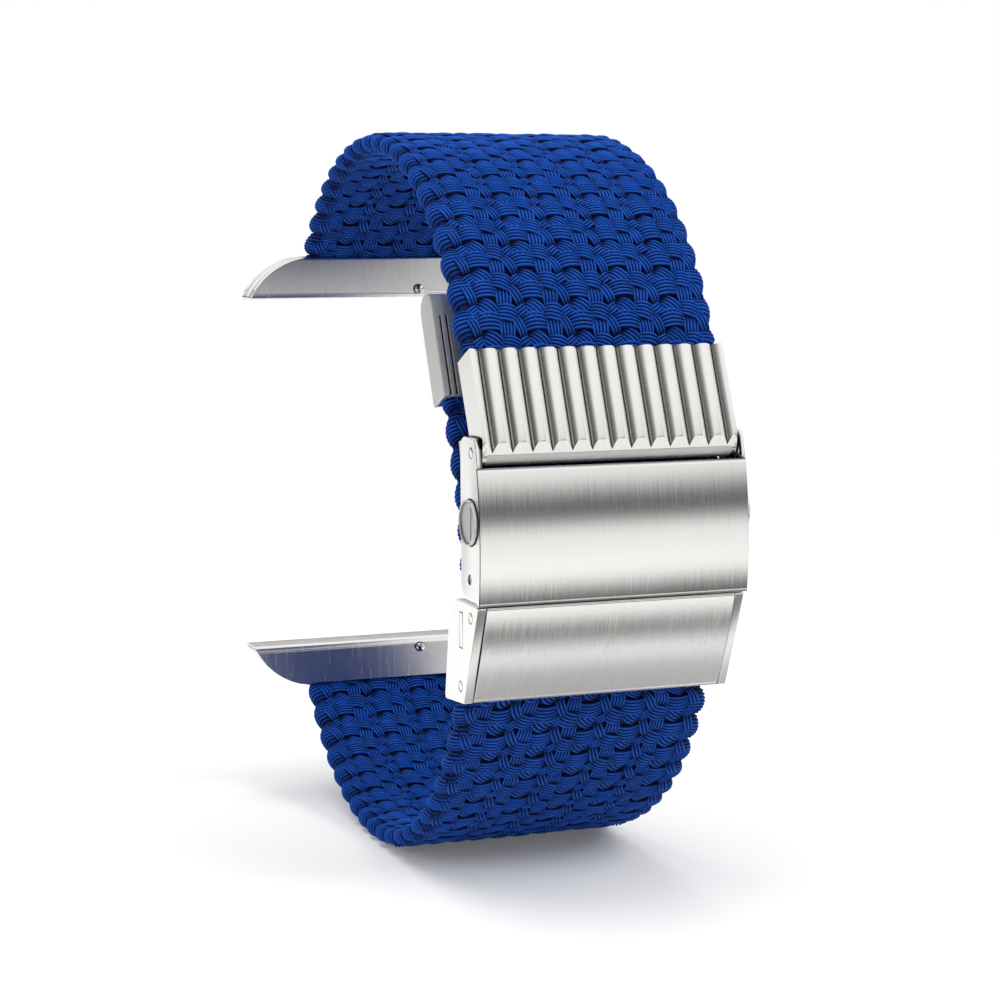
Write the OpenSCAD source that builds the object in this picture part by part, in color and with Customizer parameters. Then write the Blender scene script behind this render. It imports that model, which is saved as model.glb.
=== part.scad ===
// Braided watch strap with a lever clasp. The strap stands on the round of its lower half,
// with X across the strap, Y from the clasp to the lugs and Z up.
// All sizes are in millimetres.

/* [Strap] */
// Width of the braid where it is free
strap_w = 23; // [20:0.5:24]
// Thickness of the braid
strap_t = 2; // [1.8:0.1:2.2]
// How far each edge of the braid draws in where metal holds it
strap_draw_in = 0.9; // [0.5:0.05:0.9]
// Outer radius of the bend over the top of the loop
upper_bend_r = 27.6; // [25:0.2:30]
// Height of that bend's centre above the middle of the loop
upper_bend_z = 5.6; // [4:0.2:7]
// Outer radius of the bend under the loop
lower_bend_r = 27.2; // [25:0.2:29]
// Depth of that bend's centre below the middle of the loop
lower_bend_z = 5.2; // [4:0.2:6.5]
// Length of the tail above its knee
tail_l = 17.2; // [14:0.2:20]
// Backward lean of the tail
tail_lean = 24; // [22:1:26]

/* [Lugs] */
// Distance from the bend's centre to the lug connectors
lug_reach = 21.6; // [20:0.1:24]
// Height of each strap bar above or below the middle of the loop
lug_z = 20.7; // [19:0.1:22]
// Length of a connector across the strap
connector_l = 34.4; // [32:0.2:36]
// Thickness of a connector along Y
connector_t = 4; // [3.8:0.1:4.6]
// Depth of a connector, from its outer face inwards
connector_h = 4.2; // [4:0.1:5]
// Radius of a strap bar
strap_bar_r = 0.4; // [0.3:0.05:0.5]
// Radius of a connector's lock button
lock_r = 0.4; // [0.3:0.05:0.45]
// Travel of a lock button
lock_travel = 0.5; // [0.3:0.05:0.6]

/* [Clasp] */
// Width of the clasp
clasp_w = 23.7; // [23.5:0.1:25.4]
// Thickness of a cheek
cheek_t = 0.5; // [0.4:0.05:0.6]
// Height of the cover's top edge above the middle of the loop
cover_top = 5.78; // [5:0.01:5.8]
// Depth of the cover's bottom edge below the middle of the loop
cover_bottom = 5.3; // [5.2:0.1:5.8]
// Thickness of the cover
cover_t = 0.7; // [0.5:0.05:0.8]
// Radius of the cover's curved face
cover_r = 34; // [30:1:44]
// Radius of the bar that the strap turns round
turn_bar_r = 0.6; // [0.5:0.05:0.7]
// Thickness of the plate behind the strap
base_t = 0.6; // [0.4:0.05:0.7]
// Radius of a side button
button_r = 1.85; // [1.6:0.05:1.9]
// How far a side button stands out
button_proud = 0.4; // [0.4:0.05:0.7]
// Travel of a side button
button_travel = 0.4; // [0.2:0.05:0.4]
// Thickness of the catch spring
spring_t = 0.25; // [0.2:0.05:0.25]

/* [Lever] */
// Length of the lever
lever_l = 8.9; // [8:0.1:9.2]
// Backward lean of the closed lever
lever_lean = 23.5; // [22:0.5:24]
// Depth of the lever's end walls
lever_depth = 3.2; // [2.8:0.1:3.4]
// Thickness of an end wall
lever_wall = 0.4; // [0.3:0.05:0.45]
// Thickness of the ribbed face, from the crests to the back
lever_face_t = 1; // [0.9:0.05:1.1]
// Depth of the valleys between the ribs
rib_depth = 0.5; // [0.3:0.05:0.5]
// Number of valleys
valleys = 13; // [9:1:15]
// Radius of the lever pin
lever_pin_r = 0.42; // [0.35:0.01:0.5]
// Radius of the barrel round the pin
barrel_r = 1.1; // [0.95:0.05:1.15]

/* [Housing] */
// Height of the lower housing
housing_h = 8.5; // [8.2:0.1:9]
// Backward slope of the housing's front, in degrees
housing_lean = 21.9; // [20:0.1:24]
// Thickness of a side plate
side_plate_t = 0.8; // [0.7:0.05:0.8]
// Thickness of the front panel
panel_t = 0.7; // [0.5:0.05:0.8]
// Thickness of the back plate
back_t = 0.4; // [0.3:0.05:0.5]
// Radius of the pin that the short strap pulls on
strap_pin_r = 0.42; // [0.35:0.01:0.5]
// Radius of a catch stud
stud_r = 0.42; // [0.35:0.01:0.45]

/* [Hidden] */
$fn = 48;

steel = [0.82, 0.81, 0.79];
polished = [0.90, 0.90, 0.89];
dark_steel = [0.55, 0.55, 0.55];
braid = [0.05, 0.20, 0.62];

// Clearances
run = 0.05;      // a pin or button that turns or slides in its hole
fixed = 0.02;    // a pin or screw that stays in its hole
slack = 0.1;     // between the braid and metal, and between plates
seam = 0.15;     // between the clasp and the housing
eps = 0.01;      // a cut that runs past a face

// Widths across the strap
held_w = strap_w - 2 * strap_draw_in;
inner_w = clasp_w - 2 * cheek_t;
lever_w = inner_w - 2 * slack;
housing_w = clasp_w - 2 * side_plate_t;

// The turn of the strap round its bar, low in the clasp
turn_mid_r = turn_bar_r + run + strap_t / 2;
cover_gap = 0.5;
turn_y = cover_t + cover_gap + turn_mid_r + strap_t / 2;
turn_z = -cover_bottom + run + turn_mid_r + strap_t / 2;
turn = [turn_y, turn_z];
journal_r = 0.35;
cheek_depth = turn_y + journal_r + 0.55;

// The lever pin, and the strap that passes behind its barrel
cam_rise = 0.28;
barrel_gap = 0.07;
lever_front = 1.5;
lever_foot = 0.55;
pin_z = cover_top + barrel_r + barrel_gap;
pin_y = cover_t + 1.61;
pin = [pin_y, pin_z];
nip_y = pin_y + barrel_r + cam_rise + slack;

// The middle line of the upper strap
upper_mid_r = upper_bend_r - strap_t / 2;
bend_y = nip_y + upper_bend_r;
upper_bend = [bend_y, upper_bend_z];
nip_angle = 6;
lever_top_angle = 22.5;
front_knee_r = 8;
tail_knee_r = 12;
knee_z = turn_z + 5.2;
front_knee = upper_bend + polar(upper_mid_r, 180 - nip_angle) - 2.4 * slope(nip_angle);
front_lean = tangent_lean(front_knee, turn, turn_mid_r, 1);
front_start = turn + turn_mid_r * [-cos(front_lean), sin(front_lean)];
layer_step = (strap_t + base_t + 2 * slack) / cos(front_lean);
tail_knee = [front_start[0] + (knee_z - front_start[1]) * tan(front_lean) + layer_step, knee_z];
tail_low_lean = tangent_lean(tail_knee, turn, turn_mid_r, -1);
tail_tip = tail_knee + tail_l * slope(tail_lean);

// Lug connectors
lug_y = bend_y + lug_reach;
lug = [lug_y, lug_z];
eye_r = strap_bar_r + 1;
connector_top = lug_z + 2 * strap_bar_r;
connector_base = connector_top - connector_h;
upper_top = [bend_y, upper_bend_z + upper_mid_r];
upper_rear_sweep = 2 * atan((upper_top[1] - lug_z) / lug_reach);
upper_rear_r = lug_reach / sin(upper_rear_sweep);

tail_part = concat(
    [tail_tip],
    corner_arc_to(tail_tip, tail_knee, tail_knee - slope(tail_low_lean), tail_knee_r, 4));
turn_part = arc(turn, turn_mid_r, -tail_low_lean, -180 - front_lean, 24);
front_part = concat(
    corner_arc_to(front_start, front_knee, upper_bend + polar(upper_mid_r, 180 - nip_angle), front_knee_r, 4),
    arc(upper_bend, upper_mid_r, 180 - nip_angle, 180 - lever_top_angle, 6));
upper_free = concat(
    rest(arc(upper_bend, upper_mid_r, 180 - lever_top_angle, 90, 22)),
    rest(arc([bend_y, upper_top[1] - upper_rear_r], upper_rear_r, 90, 90 - upper_rear_sweep, 18)));
upper_path = concat(tail_part, turn_part, front_part, upper_free);
tail_end = len(tail_part);
upper_free_start = len(upper_path) - len(upper_free) - 1;

// The middle line of the lower strap
lower_mid_r = lower_bend_r - strap_t / 2;
lower_bend = [bend_y - 0.1 - upper_bend_r + lower_bend_r + 0.7, -lower_bend_z];
grip_angle = 15.5;
grip_l = 2.3;
grip_start = lower_bend + polar(lower_mid_r, 180 + grip_angle);
grip_end = grip_start + grip_l * [-sin(grip_angle), cos(grip_angle)];
lower_low = [lower_bend[0], -lower_bend_z - lower_mid_r];
lower_reach = lug_y - lower_bend[0];
lower_rear_sweep = 2 * atan((-lug_z - lower_low[1]) / lower_reach);
lower_rear_r = lower_reach / sin(lower_rear_sweep);
free_angle = 23.2;
lower_held = concat([grip_end], arc(lower_bend, lower_mid_r, 180 + grip_angle, 180 + free_angle, 3));
lower_free = concat(
    rest(arc(lower_bend, lower_mid_r, 180 + free_angle, 270, 22)),
    rest(arc([lower_bend[0], lower_low[1] + lower_rear_r], lower_rear_r, 270, 270 + lower_rear_sweep, 18)));
lower_path = concat(lower_held, lower_free);
lower_free_start = len(lower_held) - 1;

// The lower housing's outline, and what it holds
housing_top = -cover_bottom - seam;
housing_low = housing_top - housing_h;
housing_front = 0.66;
shoulder_drop = 2.15;
housing_shoulder = housing_top - shoulder_drop;
function housing_y(z) = housing_front + (housing_top - z) * tan(housing_lean);
rear_gap = strap_t / 2 + slack + back_t + 0.26;
housing_rear_low = lower_strap_y(housing_low) + rear_gap / cos(free_angle);
housing_rear_high = grip_end[0] + rear_gap + 0.35;
strap_pin = grip_end + 2.3 * [sin(grip_angle), -cos(grip_angle)]
          + (strap_t / 2 + strap_pin_r + 0.07) * [-cos(grip_angle), -sin(grip_angle)];
stud = [housing_y(housing_top - 1.1) + 1.35, housing_top - 1.1];
bridge_y = 4.4;
bridge_t = 0.75;
bridge_z = [housing_top - 3.9, housing_top - 0.95];

// Row frame: the middle of the part in Y, and its lowest point in Z
centre_y = (lug_y + connector_t / 2) / 2;
ground_z = lower_bend_z + lower_bend_r;

// A point at radius r and angle a
function polar(r, a) = [r * cos(a), r * sin(a)];
// The upward direction that leans back by a
function slope(a) = [sin(a), cos(a)];
function unit(v) = v / norm(v);
// Points along an arc round c
function arc(c, r, a0, a1, n) = [for (i = [0:n]) c + polar(r, a0 + (a1 - a0) * i / n)];
// Lean of the line from point p that touches the circle round c, in front (1) or behind (-1)
function tangent_lean(p, c, r, side) = atan2(p[0] - c[0], p[1] - c[1]) + side * asin(r / norm(p - c));
// The arc of radius r that rounds the corner at p1 between p0 and p2
function corner_arc_to(p0, p1, p2, r, n) =
    let (a = unit(p0 - p1), b = unit(p2 - p1), half = acos(a * b) / 2,
         c = p1 + unit(a + b) * r / sin(half),
         s = p1 + a * r / tan(half) - c, e = p1 + b * r / tan(half) - c,
         a0 = atan2(s[1], s[0]), turn_by = atan2(s[0] * e[1] - s[1] * e[0], s * e))
    arc(c, r, a0, a0 + turn_by, n);
// A closed outline of corners [y, z, radius]
function rounded(corners, n = 6) =
    let (m = len(corners))
    [for (i = [0:m - 1])
        let (p = corners[i], q = corners[(i + m - 1) % m], s = corners[(i + 1) % m])
        each p[2] == 0 ? [[p[0], p[1]]]
                       : corner_arc_to([q[0], q[1]], [p[0], p[1]], [s[0], s[1]], p[2], n)];
// A path without its first point
function rest(path) = [for (i = [1:len(path) - 1]) path[i]];
// Both sides of a band of thickness t along a path, from its point number from to number to
function normal(path, i) =
    let (m = len(path) - 1, d = unit(path[min(i + 1, m)] - path[max(i - 1, 0)])) [d[1], -d[0]];
function band(path, t, from, to) = concat(
    [for (i = [from:to]) path[i] + normal(path, i) * t / 2],
    [for (i = [to:-1:from]) path[i] - normal(path, i) * t / 2]);
// Where the lower strap's middle line stands at height z, in the front half of its bend
function lower_strap_y(z) = lower_bend[0] - sqrt(pow(lower_mid_r, 2) - pow(z + lower_bend_z, 2));
// The cover's curved face at height z
function cover_y(z) = cover_r - sqrt(pow(cover_r, 2) - pow(z + 1.5, 2));

// Puts a shape drawn from the clasp's front and the loop's middle into the row frame
module placed() {
    translate([0, -centre_y, ground_z])
        children();
}

// An outline in Y and Z, drawn across the strap from x0 to x1
module across(x0, x1) {
    translate([x0, 0, 0])
        rotate([90, 0, 90])
            linear_extrude(x1 - x0)
                children();
}

// A rod along X at point p
module rod(p, r, x0, x1) {
    translate([x0, p[0], p[1]])
        rotate([0, 90, 0])
            cylinder(r = r, h = x1 - x0);
}

// A rod along Y at height z
module rod_y(z, r, y0, y1) {
    translate([0, y0, z])
        rotate([-90, 0, 0])
            cylinder(r = r, h = y1 - y0);
}

// Draws its children on the left and on the right
module both_sides() {
    children();
    mirror([1, 0, 0])
        children();
}

// Upper strap: the long braid, from its tip inside the loop round the turn bar, up behind the
// lever and over the top to its eye on the strap bar
module upper_strap() {
    last = len(upper_path) - 1;
    color(braid)
    placed()
        difference() {
            union() {
                across(-held_w / 2, held_w / 2)
                    polygon(band(upper_path, strap_t, tail_end - 1, upper_free_start + 1));
                across(-strap_w / 2, strap_w / 2)
                    polygon(band(upper_path, strap_t, 0, tail_end));
                across(-strap_w / 2, strap_w / 2)
                    polygon(band(upper_path, strap_t, upper_free_start, last));
                rod(lug, eye_r, -strap_w / 2, strap_w / 2);
            }
            rod(lug, strap_bar_r + run, -strap_w, strap_w);
        }
}

// Lower strap: the short braid, from its end in the housing round the bottom to its eye
module lower_strap() {
    last = len(lower_path) - 1;
    color(braid)
    placed()
        difference() {
            union() {
                across(-held_w / 2, held_w / 2)
                    polygon(band(lower_path, strap_t, 0, lower_free_start + 1));
                across(-strap_w / 2, strap_w / 2)
                    polygon(band(lower_path, strap_t, lower_free_start, last));
                rod([lug_y, -lug_z], eye_r, -strap_w / 2, strap_w / 2);
            }
            rod([lug_y, -lug_z], strap_bar_r + run, -strap_w, strap_w);
        }
}

// Metal clip on the tip of the tail, with a full round end and two grooves down each face
clip_wall = 0.5;
clip_l = 8.6;
clip_t = strap_t + 2 * (clip_wall + fixed);
clip_w = clasp_w;
module tip_clip() {
    half = clip_t / 2;
    groove = 0.12;
    color(polished)
    placed()
        translate([0, tail_tip[0], tail_tip[1]])
            rotate([-tail_lean, 0, 0])
                difference() {
                    across(-clip_w / 2, clip_w / 2)
                        polygon(concat([[half, -clip_l], [half, -half * 0.4]],
                                       arc([0, -half * 0.4], half, 0, 180, 12),
                                       [[-half, -clip_l]]));
                    across(-strap_w / 2 - fixed, strap_w / 2 + fixed)
                        translate([-strap_t / 2 - fixed, -clip_l - eps])
                            square([strap_t + 2 * fixed, clip_l + eps + fixed]);
                    both_sides()
                        for (x = [0.55, 1.1], side = [-1, 1])
                            translate([clip_w / 2 - x - groove, side * half - groove, -clip_l - eps])
                                cube([groove, 2 * groove, clip_l - half]);
                }
}

// Cheek: a side wall of the clasp, with the holes for the pin, the button, the screw and the bar
screw_r = 0.4;
screw = [2.65, -cover_bottom + 1.9];
button = [cheek_depth / 2, 1.3];
foot_step = [0.72, 0.4];
mitre_land = 0.08;
mitre_gap = 1.5 * fixed;
// The room behind the cover's mitred end, from x0 out to the cheek's outer face
module behind_mitre(x0, gap) {
    outside = clasp_w / 2;
    r = cover_r - mitre_land + gap;
    translate([x0, cover_r, -1.5])
        rotate([0, 90, 0])
            cylinder(r1 = r - (outside - x0), r2 = r, h = outside - x0, $fn = 720);
}

module cheek_outline() {
    front = [for (i = [0:12])
             let (z = -cover_bottom + (pin_z + 0.2 + cover_bottom) * i / 12) [cover_y(z), z, 0]];
    top = pin_z + 1.2;
    foot_z = -cover_bottom;
    foot_y = cover_y(foot_z) + foot_step[0];
    polygon(rounded(concat(front, [[pin_y - 0.9, top, 0.8], [cheek_depth + 0.15, top, 1.1],
                                   [cheek_depth, 0, 0], [cheek_depth - 0.1, foot_z + foot_step[1], 1.1],
                                   [foot_y, foot_z + foot_step[1], 0.1], [foot_y, foot_z, 0]])));
}

module cheek() {
    inside = inner_w / 2;
    outside = clasp_w / 2;
    placed()
        difference() {
            across(inside, outside)
                cheek_outline();
            rod(pin, lever_pin_r + fixed, inside - eps, outside + eps);
            rod(button, button_r + run, inside - eps, outside + eps);
            rod(screw, screw_r + fixed, inside - eps, outside + eps);
            rod(turn, journal_r + fixed, inside - eps, outside - cheek_t * 0.4);
            difference() {
                across(inside - 1, outside + 1)
                    translate([-2, -cover_bottom - 1])
                        square([2 + cover_t + cheek_t, cover_top + cover_bottom + 1 + mitre_gap]);
                behind_mitre(inside - 1, 0);
                across(outside - eps, outside + 2)
                    translate([cover_r, -1.5])
                        circle(cover_r - mitre_land, $fn = 720);
            }
        }
}

module left_cheek() {
    color(polished)
        mirror([1, 0, 0])
            cheek();
}

module right_cheek() {
    color(polished)
        cheek();
}

// Front cover: the curved brushed plate, mitred into the cheeks' front edges, with an ear near each
// end for a screw
ear_t = 0.35;
module cover_outline() {
    n = 40;
    face = [for (i = [0:n]) let (z = -cover_bottom + (cover_top + cover_bottom) * i / n) [cover_y(z), z]];
    back = [for (i = [n:-1:0]) face[i] + [cover_t, 0]];
    polygon(concat(face, back));
}

module front_cover() {
    half = inner_w / 2 - fixed;
    ear = screw_r + 0.35;
    ear_root = cover_y(screw[1] - ear) + cover_t / 2;
    color(steel)
    placed() {
        difference() {
            across(-clasp_w / 2, clasp_w / 2)
                cover_outline();
            both_sides() {
                behind_mitre(half, mitre_gap);
                across(clasp_w / 2 - eps, clasp_w / 2 + 1)
                    translate([cover_r, -1.5])
                        circle(cover_r - mitre_land + mitre_gap, $fn = 720);
            }
        }
        both_sides()
            difference() {
                across(half - ear_t, half)
                    polygon(rounded([[ear_root, screw[1] - ear, 0], [screw[0] + ear, screw[1] - ear, 0.6],
                                     [screw[0] + ear, screw[1] + ear, 0.6], [ear_root, screw[1] + ear, 0]]));
                rod(screw, screw_r + fixed, half - ear_t - eps, half + eps);
            }
    }
}

// Release tongue: fixed behind the cover, and runs down behind the housing's front panel
tongue_w = 16;
tongue_t = 0.6;
tongue_rise = 1.4;
tongue_reach = 2.55;
module release_tongue() {
    top = -cover_bottom + tongue_rise;
    step = -cover_bottom + 0.08;
    tip = housing_top - tongue_reach;
    front = housing_y(housing_top) + panel_t / cos(housing_lean) + 0.24;
    back_y = cover_y(top) + cover_t - eps;
    color(steel)
    placed()
        across(-tongue_w / 2, tongue_w / 2)
            difference() {
                polygon([[back_y, top], [back_y + tongue_t, top], [back_y + tongue_t, top - 0.35],
                         [front + tongue_t, step],
                         [front + tongue_t + (step - tip) * tan(housing_lean), tip],
                         [front + (step - tip) * tan(housing_lean), tip],
                         [front, step - 0.15], [back_y, top - 0.4]]);
                cover_outline();
            }
}

// Base plate: leans with the strap's front layer and takes the press of the cam
module base_plate() {
    lift = front_start + 1.25 * slope(front_lean);
    plate_l = 9.2;
    tab_l = 1;
    near = strap_t / 2 + slack;
    color(steel)
    placed()
        translate([0, lift[0], lift[1]])
            rotate([-front_lean, 0, 0]) {
                across(-inner_w / 2 + slack, inner_w / 2 - slack)
                    translate([near, 0])
                        square([base_t, plate_l]);
                across(-inner_w / 2, inner_w / 2)
                    translate([near, 0])
                        square([base_t, tab_l]);
            }
}

// Turn bar, with a journal at each end
module turn_bar() {
    color(dark_steel)
    placed() {
        rod(turn, turn_bar_r, -held_w / 2 - slack, held_w / 2 + slack);
        rod(turn, journal_r, -clasp_w / 2 + cheek_t * 0.5, clasp_w / 2 - cheek_t * 0.5);
    }
}

// Lever pin, flush with the cheeks
module lever_pin() {
    color(polished)
    placed()
        rod(pin, lever_pin_r, -clasp_w / 2, clasp_w / 2);
}

// Cover screws: a small socket screw through each cheek into the cover's ear
module cover_screws() {
    outside = clasp_w / 2 - 0.12;
    color(dark_steel)
    placed()
        both_sides()
            difference() {
                rod(screw, screw_r, inner_w / 2 - ear_t, outside);
                translate([outside - 0.3, screw[0], screw[1]])
                    rotate([0, 90, 0])
                        cylinder(r = screw_r * 0.5, h = 1, $fn = 6);
            }
}

// Catch spring: a strip behind the cover, bent down at each end into an arm with a hooked foot
arm_out = housing_w / 2 - slack;
arm_y = 1.3;
arm_w = 0.8;
arm_top = cover_top - 2.1;
foot_top = -cover_bottom + 0.9;
module catch_foot() {
    hook = stud_r + 0.08;
    behind = stud[0] + hook + 0.35;
    under = stud[1] - hook - 0.4;
    across(arm_out - spring_t, arm_out)
        difference() {
            polygon([[arm_y, foot_top + 0.6], [arm_y + arm_w, foot_top + 0.6], [arm_y + arm_w, foot_top - 0.1],
                     [behind, stud[1] + 1.0], [behind, under], [stud[0] - 0.1, under],
                     [stud[0] - hook - 0.05, stud[1] + 0.75], [arm_y, foot_top - 0.2]]);
            translate(stud)
                circle(hook);
            translate(stud + [-2 * hook, -hook])
                square([2 * hook, 2 * hook]);
        }
}

module catch_spring() {
    bend = 1.2;
    color(dark_steel)
    placed() {
        translate([0, arm_y + arm_w, 0])
            rotate([90, 0, 0])
                linear_extrude(arm_w)
                    difference() {
                        polygon(rounded([[-arm_out, foot_top, 0], [-arm_out, arm_top, bend],
                                         [arm_out, arm_top, bend], [arm_out, foot_top, 0]]));
                        polygon(rounded([[-arm_out + spring_t, foot_top - 1, 0],
                                         [-arm_out + spring_t, arm_top - spring_t, bend - spring_t],
                                         [arm_out - spring_t, arm_top - spring_t, bend - spring_t],
                                         [arm_out - spring_t, foot_top - 1, 0]]));
                    }
        both_sides()
            catch_foot();
    }
}

// Side button: a dished disc in the cheek with an upright groove, a narrower collar that passes
// behind the cover, and a boss that pushes on the spring
boss_r = 0.4;
collar_r = button_r - 0.4;
module side_button() {
    face = clasp_w / 2 + button_proud;
    disc_back = inner_w / 2 + button_travel + fixed;
    collar_back = inner_w / 2 + 0.25;
    rim = 0.12;
    dish = 0.18;
    groove = 0.2;
    groove_y = button[0] - 0.4 * button_r;
    placed()
        difference() {
            union() {
                rod(button, button_r, disc_back, face);
                rod(button, collar_r, collar_back, disc_back + eps);
                rod([arm_y + arm_w / 2 + 0.1, button[1]], boss_r, arm_out + run, collar_back + eps);
            }
            rod(button, button_r - rim, face - dish, face + eps);
            translate([face - dish - 0.12, groove_y, button[1] - button_r - eps])
                cube([2 * dish, groove, 2 * (button_r + eps)]);
        }
}

module left_button() {
    color(dark_steel)
        mirror([1, 0, 0])
            side_button();
}

module right_button() {
    color(dark_steel)
        side_button();
}

// Lever parts are drawn from the pin, with Y through the lever and Z along it
module on_lever() {
    placed()
        translate([0, pin_y, pin_z])
            rotate([-lever_lean, 0, 0])
                children();
}

// The ribbed face's front: crests at the front and one valley every pitch
rib_pitch = lever_w / valleys;
rib_steps = 8;
function rib_front() = [
    for (i = [0:valleys * rib_steps])
        let (x = -lever_w / 2 + i * rib_pitch / rib_steps,
             s = 2 * abs((i % rib_steps) / rib_steps - 0.5))
        [x, -lever_front + rib_depth * pow(1 - s, 2)]];

// Lever: the ribbed face between two end walls, which end in discs as large as the barrel
barrel_core_r = barrel_r - 0.25;
module lever() {
    half = lever_w / 2;
    low = -lever_foot;
    high = low + lever_l;
    rib_end = 0.45;
    color(polished)
    on_lever()
        difference() {
            union() {
                translate([0, 0, low])
                    linear_extrude(lever_l)
                        polygon(concat(rib_front(), [[half, -lever_front + lever_face_t],
                                                     [-half, -lever_front + lever_face_t]]));
                both_sides()
                    across(half - lever_wall, half)
                        union() {
                            polygon([[-lever_front + lever_face_t - eps, low], [0, low - 0.35],
                                     [0.75, low], [lever_depth - lever_front - 0.35, 0.9],
                                     [lever_depth - lever_front, high - 0.1],
                                     [-lever_front + lever_face_t - eps, high]]);
                            circle(barrel_r);
                        }
            }
            across(-half - 1, half + 1)
                polygon([[-lever_front - 0.1, rib_end + 0.18], [-lever_front - 1, rib_end + 0.18],
                         [-lever_front - 1, low - 0.45], [-lever_front + (rib_end + 0.45 - low) / 1.8, low - 0.45]]);
            translate([-half + lever_wall, 0, 0])
                rotate([0, 90, 0])
                    cylinder(r = barrel_core_r + fixed, h = lever_w - 2 * lever_wall);
            translate([-half - 1, 0, 0])
                rotate([0, 90, 0])
                    cylinder(r = lever_pin_r + run, h = lever_w + 2);
        }
}

// Cam barrel: turns on the pin inside the lever, cut back behind the ribbed face to a slim core,
// with a toothed nose that presses on the strap
module cam_barrel() {
    half = lever_w / 2 - lever_wall;
    nose = 16;
    face_back = -lever_front + lever_face_t + fixed;
    face_low = -lever_foot - fixed;
    color(steel)
    on_lever()
        difference() {
            across(-half, half)
                union() {
                    circle(barrel_core_r);
                    difference() {
                        circle(barrel_r);
                        translate([face_back - 2 * barrel_r, face_low])
                            square([2 * barrel_r, 3 * barrel_r]);
                    }
                    for (i = [-1:1])
                        rotate(lever_lean + i * nose)
                            polygon([[0, -0.3], [barrel_r, -0.16], [barrel_r + cam_rise, 0],
                                     [barrel_r, 0.16], [0, 0.3]]);
                }
            translate([-half - 1, 0, 0])
                rotate([0, 90, 0])
                    cylinder(r = lever_pin_r + run, h = 2 * half + 2);
        }
}

// Connector: the bar that slides into a lug, with its outer face rounded down at both ends
end_drop = 3.9;
flat_half = held_w / 2 + 0.3;
end_sweep = 2 * atan(end_drop / (connector_l / 2 - flat_half));
end_r = (connector_l / 2 - flat_half) / sin(end_sweep);
function connector_face(inset) = concat(
    arc([-flat_half, connector_top - end_r], end_r - inset, 90 + end_sweep, 90, 8),
    arc([flat_half, connector_top - end_r], end_r - inset, 90, 90 - end_sweep, 8));
lock_z = (connector_base + lug_z - eye_r - slack) / 2;
lock_flange_r = lock_r + 0.22;
lock_mouth = 0.4;
lock_room = 3.6;
connector_y = lug_y - connector_t / 2;

module connector(entry_lean) {
    line = 0.14;
    face = connector_face(0);
    placed()
        difference() {
            intersection() {
                translate([0, lug_y + connector_t / 2, 0])
                    rotate([90, 0, 0])
                        linear_extrude(connector_t)
                            polygon(concat([[face[0][0], connector_base]], face,
                                           [[-face[0][0], connector_base]]));
                across(-connector_l, connector_l)
                    polygon(rounded([[connector_y, connector_base, 0.7],
                                     [lug_y + connector_t / 2, connector_base, 0.7],
                                     [lug_y + connector_t / 2, connector_top, 0.3],
                                     [connector_y, connector_top, 0.3]]));
            }
            across(-strap_w / 2 - slack, strap_w / 2 + slack) {
                translate(lug)
                    circle(eye_r + slack);
                translate(lug)
                    rotate(entry_lean)
                        translate([-strap_t / 2 - 0.25, 0])
                            square([strap_t + 0.25 + slack, 6]);
                translate(lug + [-eye_r - slack, 0])
                    square([2 * (eye_r + slack), 4]);
            }
            rod(lug, strap_bar_r + fixed, -strap_w / 2 - 0.9, strap_w / 2 + 0.9);
            for (y = [-0.9, 0.9])
                translate([0, lug_y + y + line / 2, 0])
                    rotate([90, 0, 0])
                        linear_extrude(line)
                            polygon(concat(connector_face(line), [for (i = [17:-1:0]) connector_face(-0.5)[i]]));
            rod_y(lock_z, lock_r + run, connector_y - eps, connector_y + 1);
            rod_y(lock_z, lock_flange_r + run, connector_y + lock_mouth, connector_y + lock_room);
        }
}

// Strap bar: holds the strap's eye in its connector
module strap_bar() {
    placed()
        rod(lug, strap_bar_r, -strap_w / 2 - 0.85, strap_w / 2 + 0.85);
}

// Lock button: a stepped plunger that stands out of the connector's inner side
flange_l = 0.9;
module lock_button() {
    placed() {
        rod_y(lock_z, lock_r, connector_y - lock_travel, connector_y + lock_mouth + eps);
        rod_y(lock_z, lock_flange_r, connector_y + lock_mouth + eps, connector_y + lock_mouth + flange_l);
    }
}

// Lock spring: a helix behind the lock button
coil_turns = 5;
coil_rings = 8;
coil_sides = 6;
coil_wire_r = 0.07;
coil_r = lock_flange_r - coil_wire_r - run;
coil_y0 = connector_y + lock_mouth + flange_l + coil_wire_r + 0.03;
coil_y1 = connector_y + lock_room - coil_wire_r - 0.03;
coil_count = coil_turns * coil_rings;
coil_gap = (coil_y1 - coil_y0) / coil_turns - 2 * coil_wire_r;
echo(lock_spring_least_gap = coil_gap);
function coil_point(i, k) =
    let (a = 360 * i / coil_rings, b = 360 * k / coil_sides,
         rr = coil_r + coil_wire_r * cos(b))
    [rr * cos(a), coil_y0 + (coil_y1 - coil_y0) * i / coil_count + coil_wire_r * sin(b),
     lock_z + rr * sin(a)];
module lock_spring() {
    points = [for (i = [0:coil_count], k = [0:coil_sides - 1]) coil_point(i, k)];
    sides = [for (i = [0:coil_count - 1], k = [0:coil_sides - 1])
                let (a = i * coil_sides + k, b = i * coil_sides + (k + 1) % coil_sides)
                each [[a, b, b + coil_sides], [a, b + coil_sides, a + coil_sides]]];
    first = [for (k = [1:coil_sides - 2]) [0, k + 1, k]];
    base = coil_count * coil_sides;
    last = [for (k = [1:coil_sides - 2]) [base, base + k, base + k + 1]];
    placed()
        polyhedron(points, concat(sides, first, last));
}

// The lower lug's pieces are the upper ones turned over the middle of the loop
module lower_lug() {
    translate([0, 0, 2 * ground_z])
        mirror([0, 0, 1])
            children();
}

module upper_connector() {
    color(polished)
        connector(90 - upper_rear_sweep);
}

module upper_strap_bar() {
    color(dark_steel)
        strap_bar();
}

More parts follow.
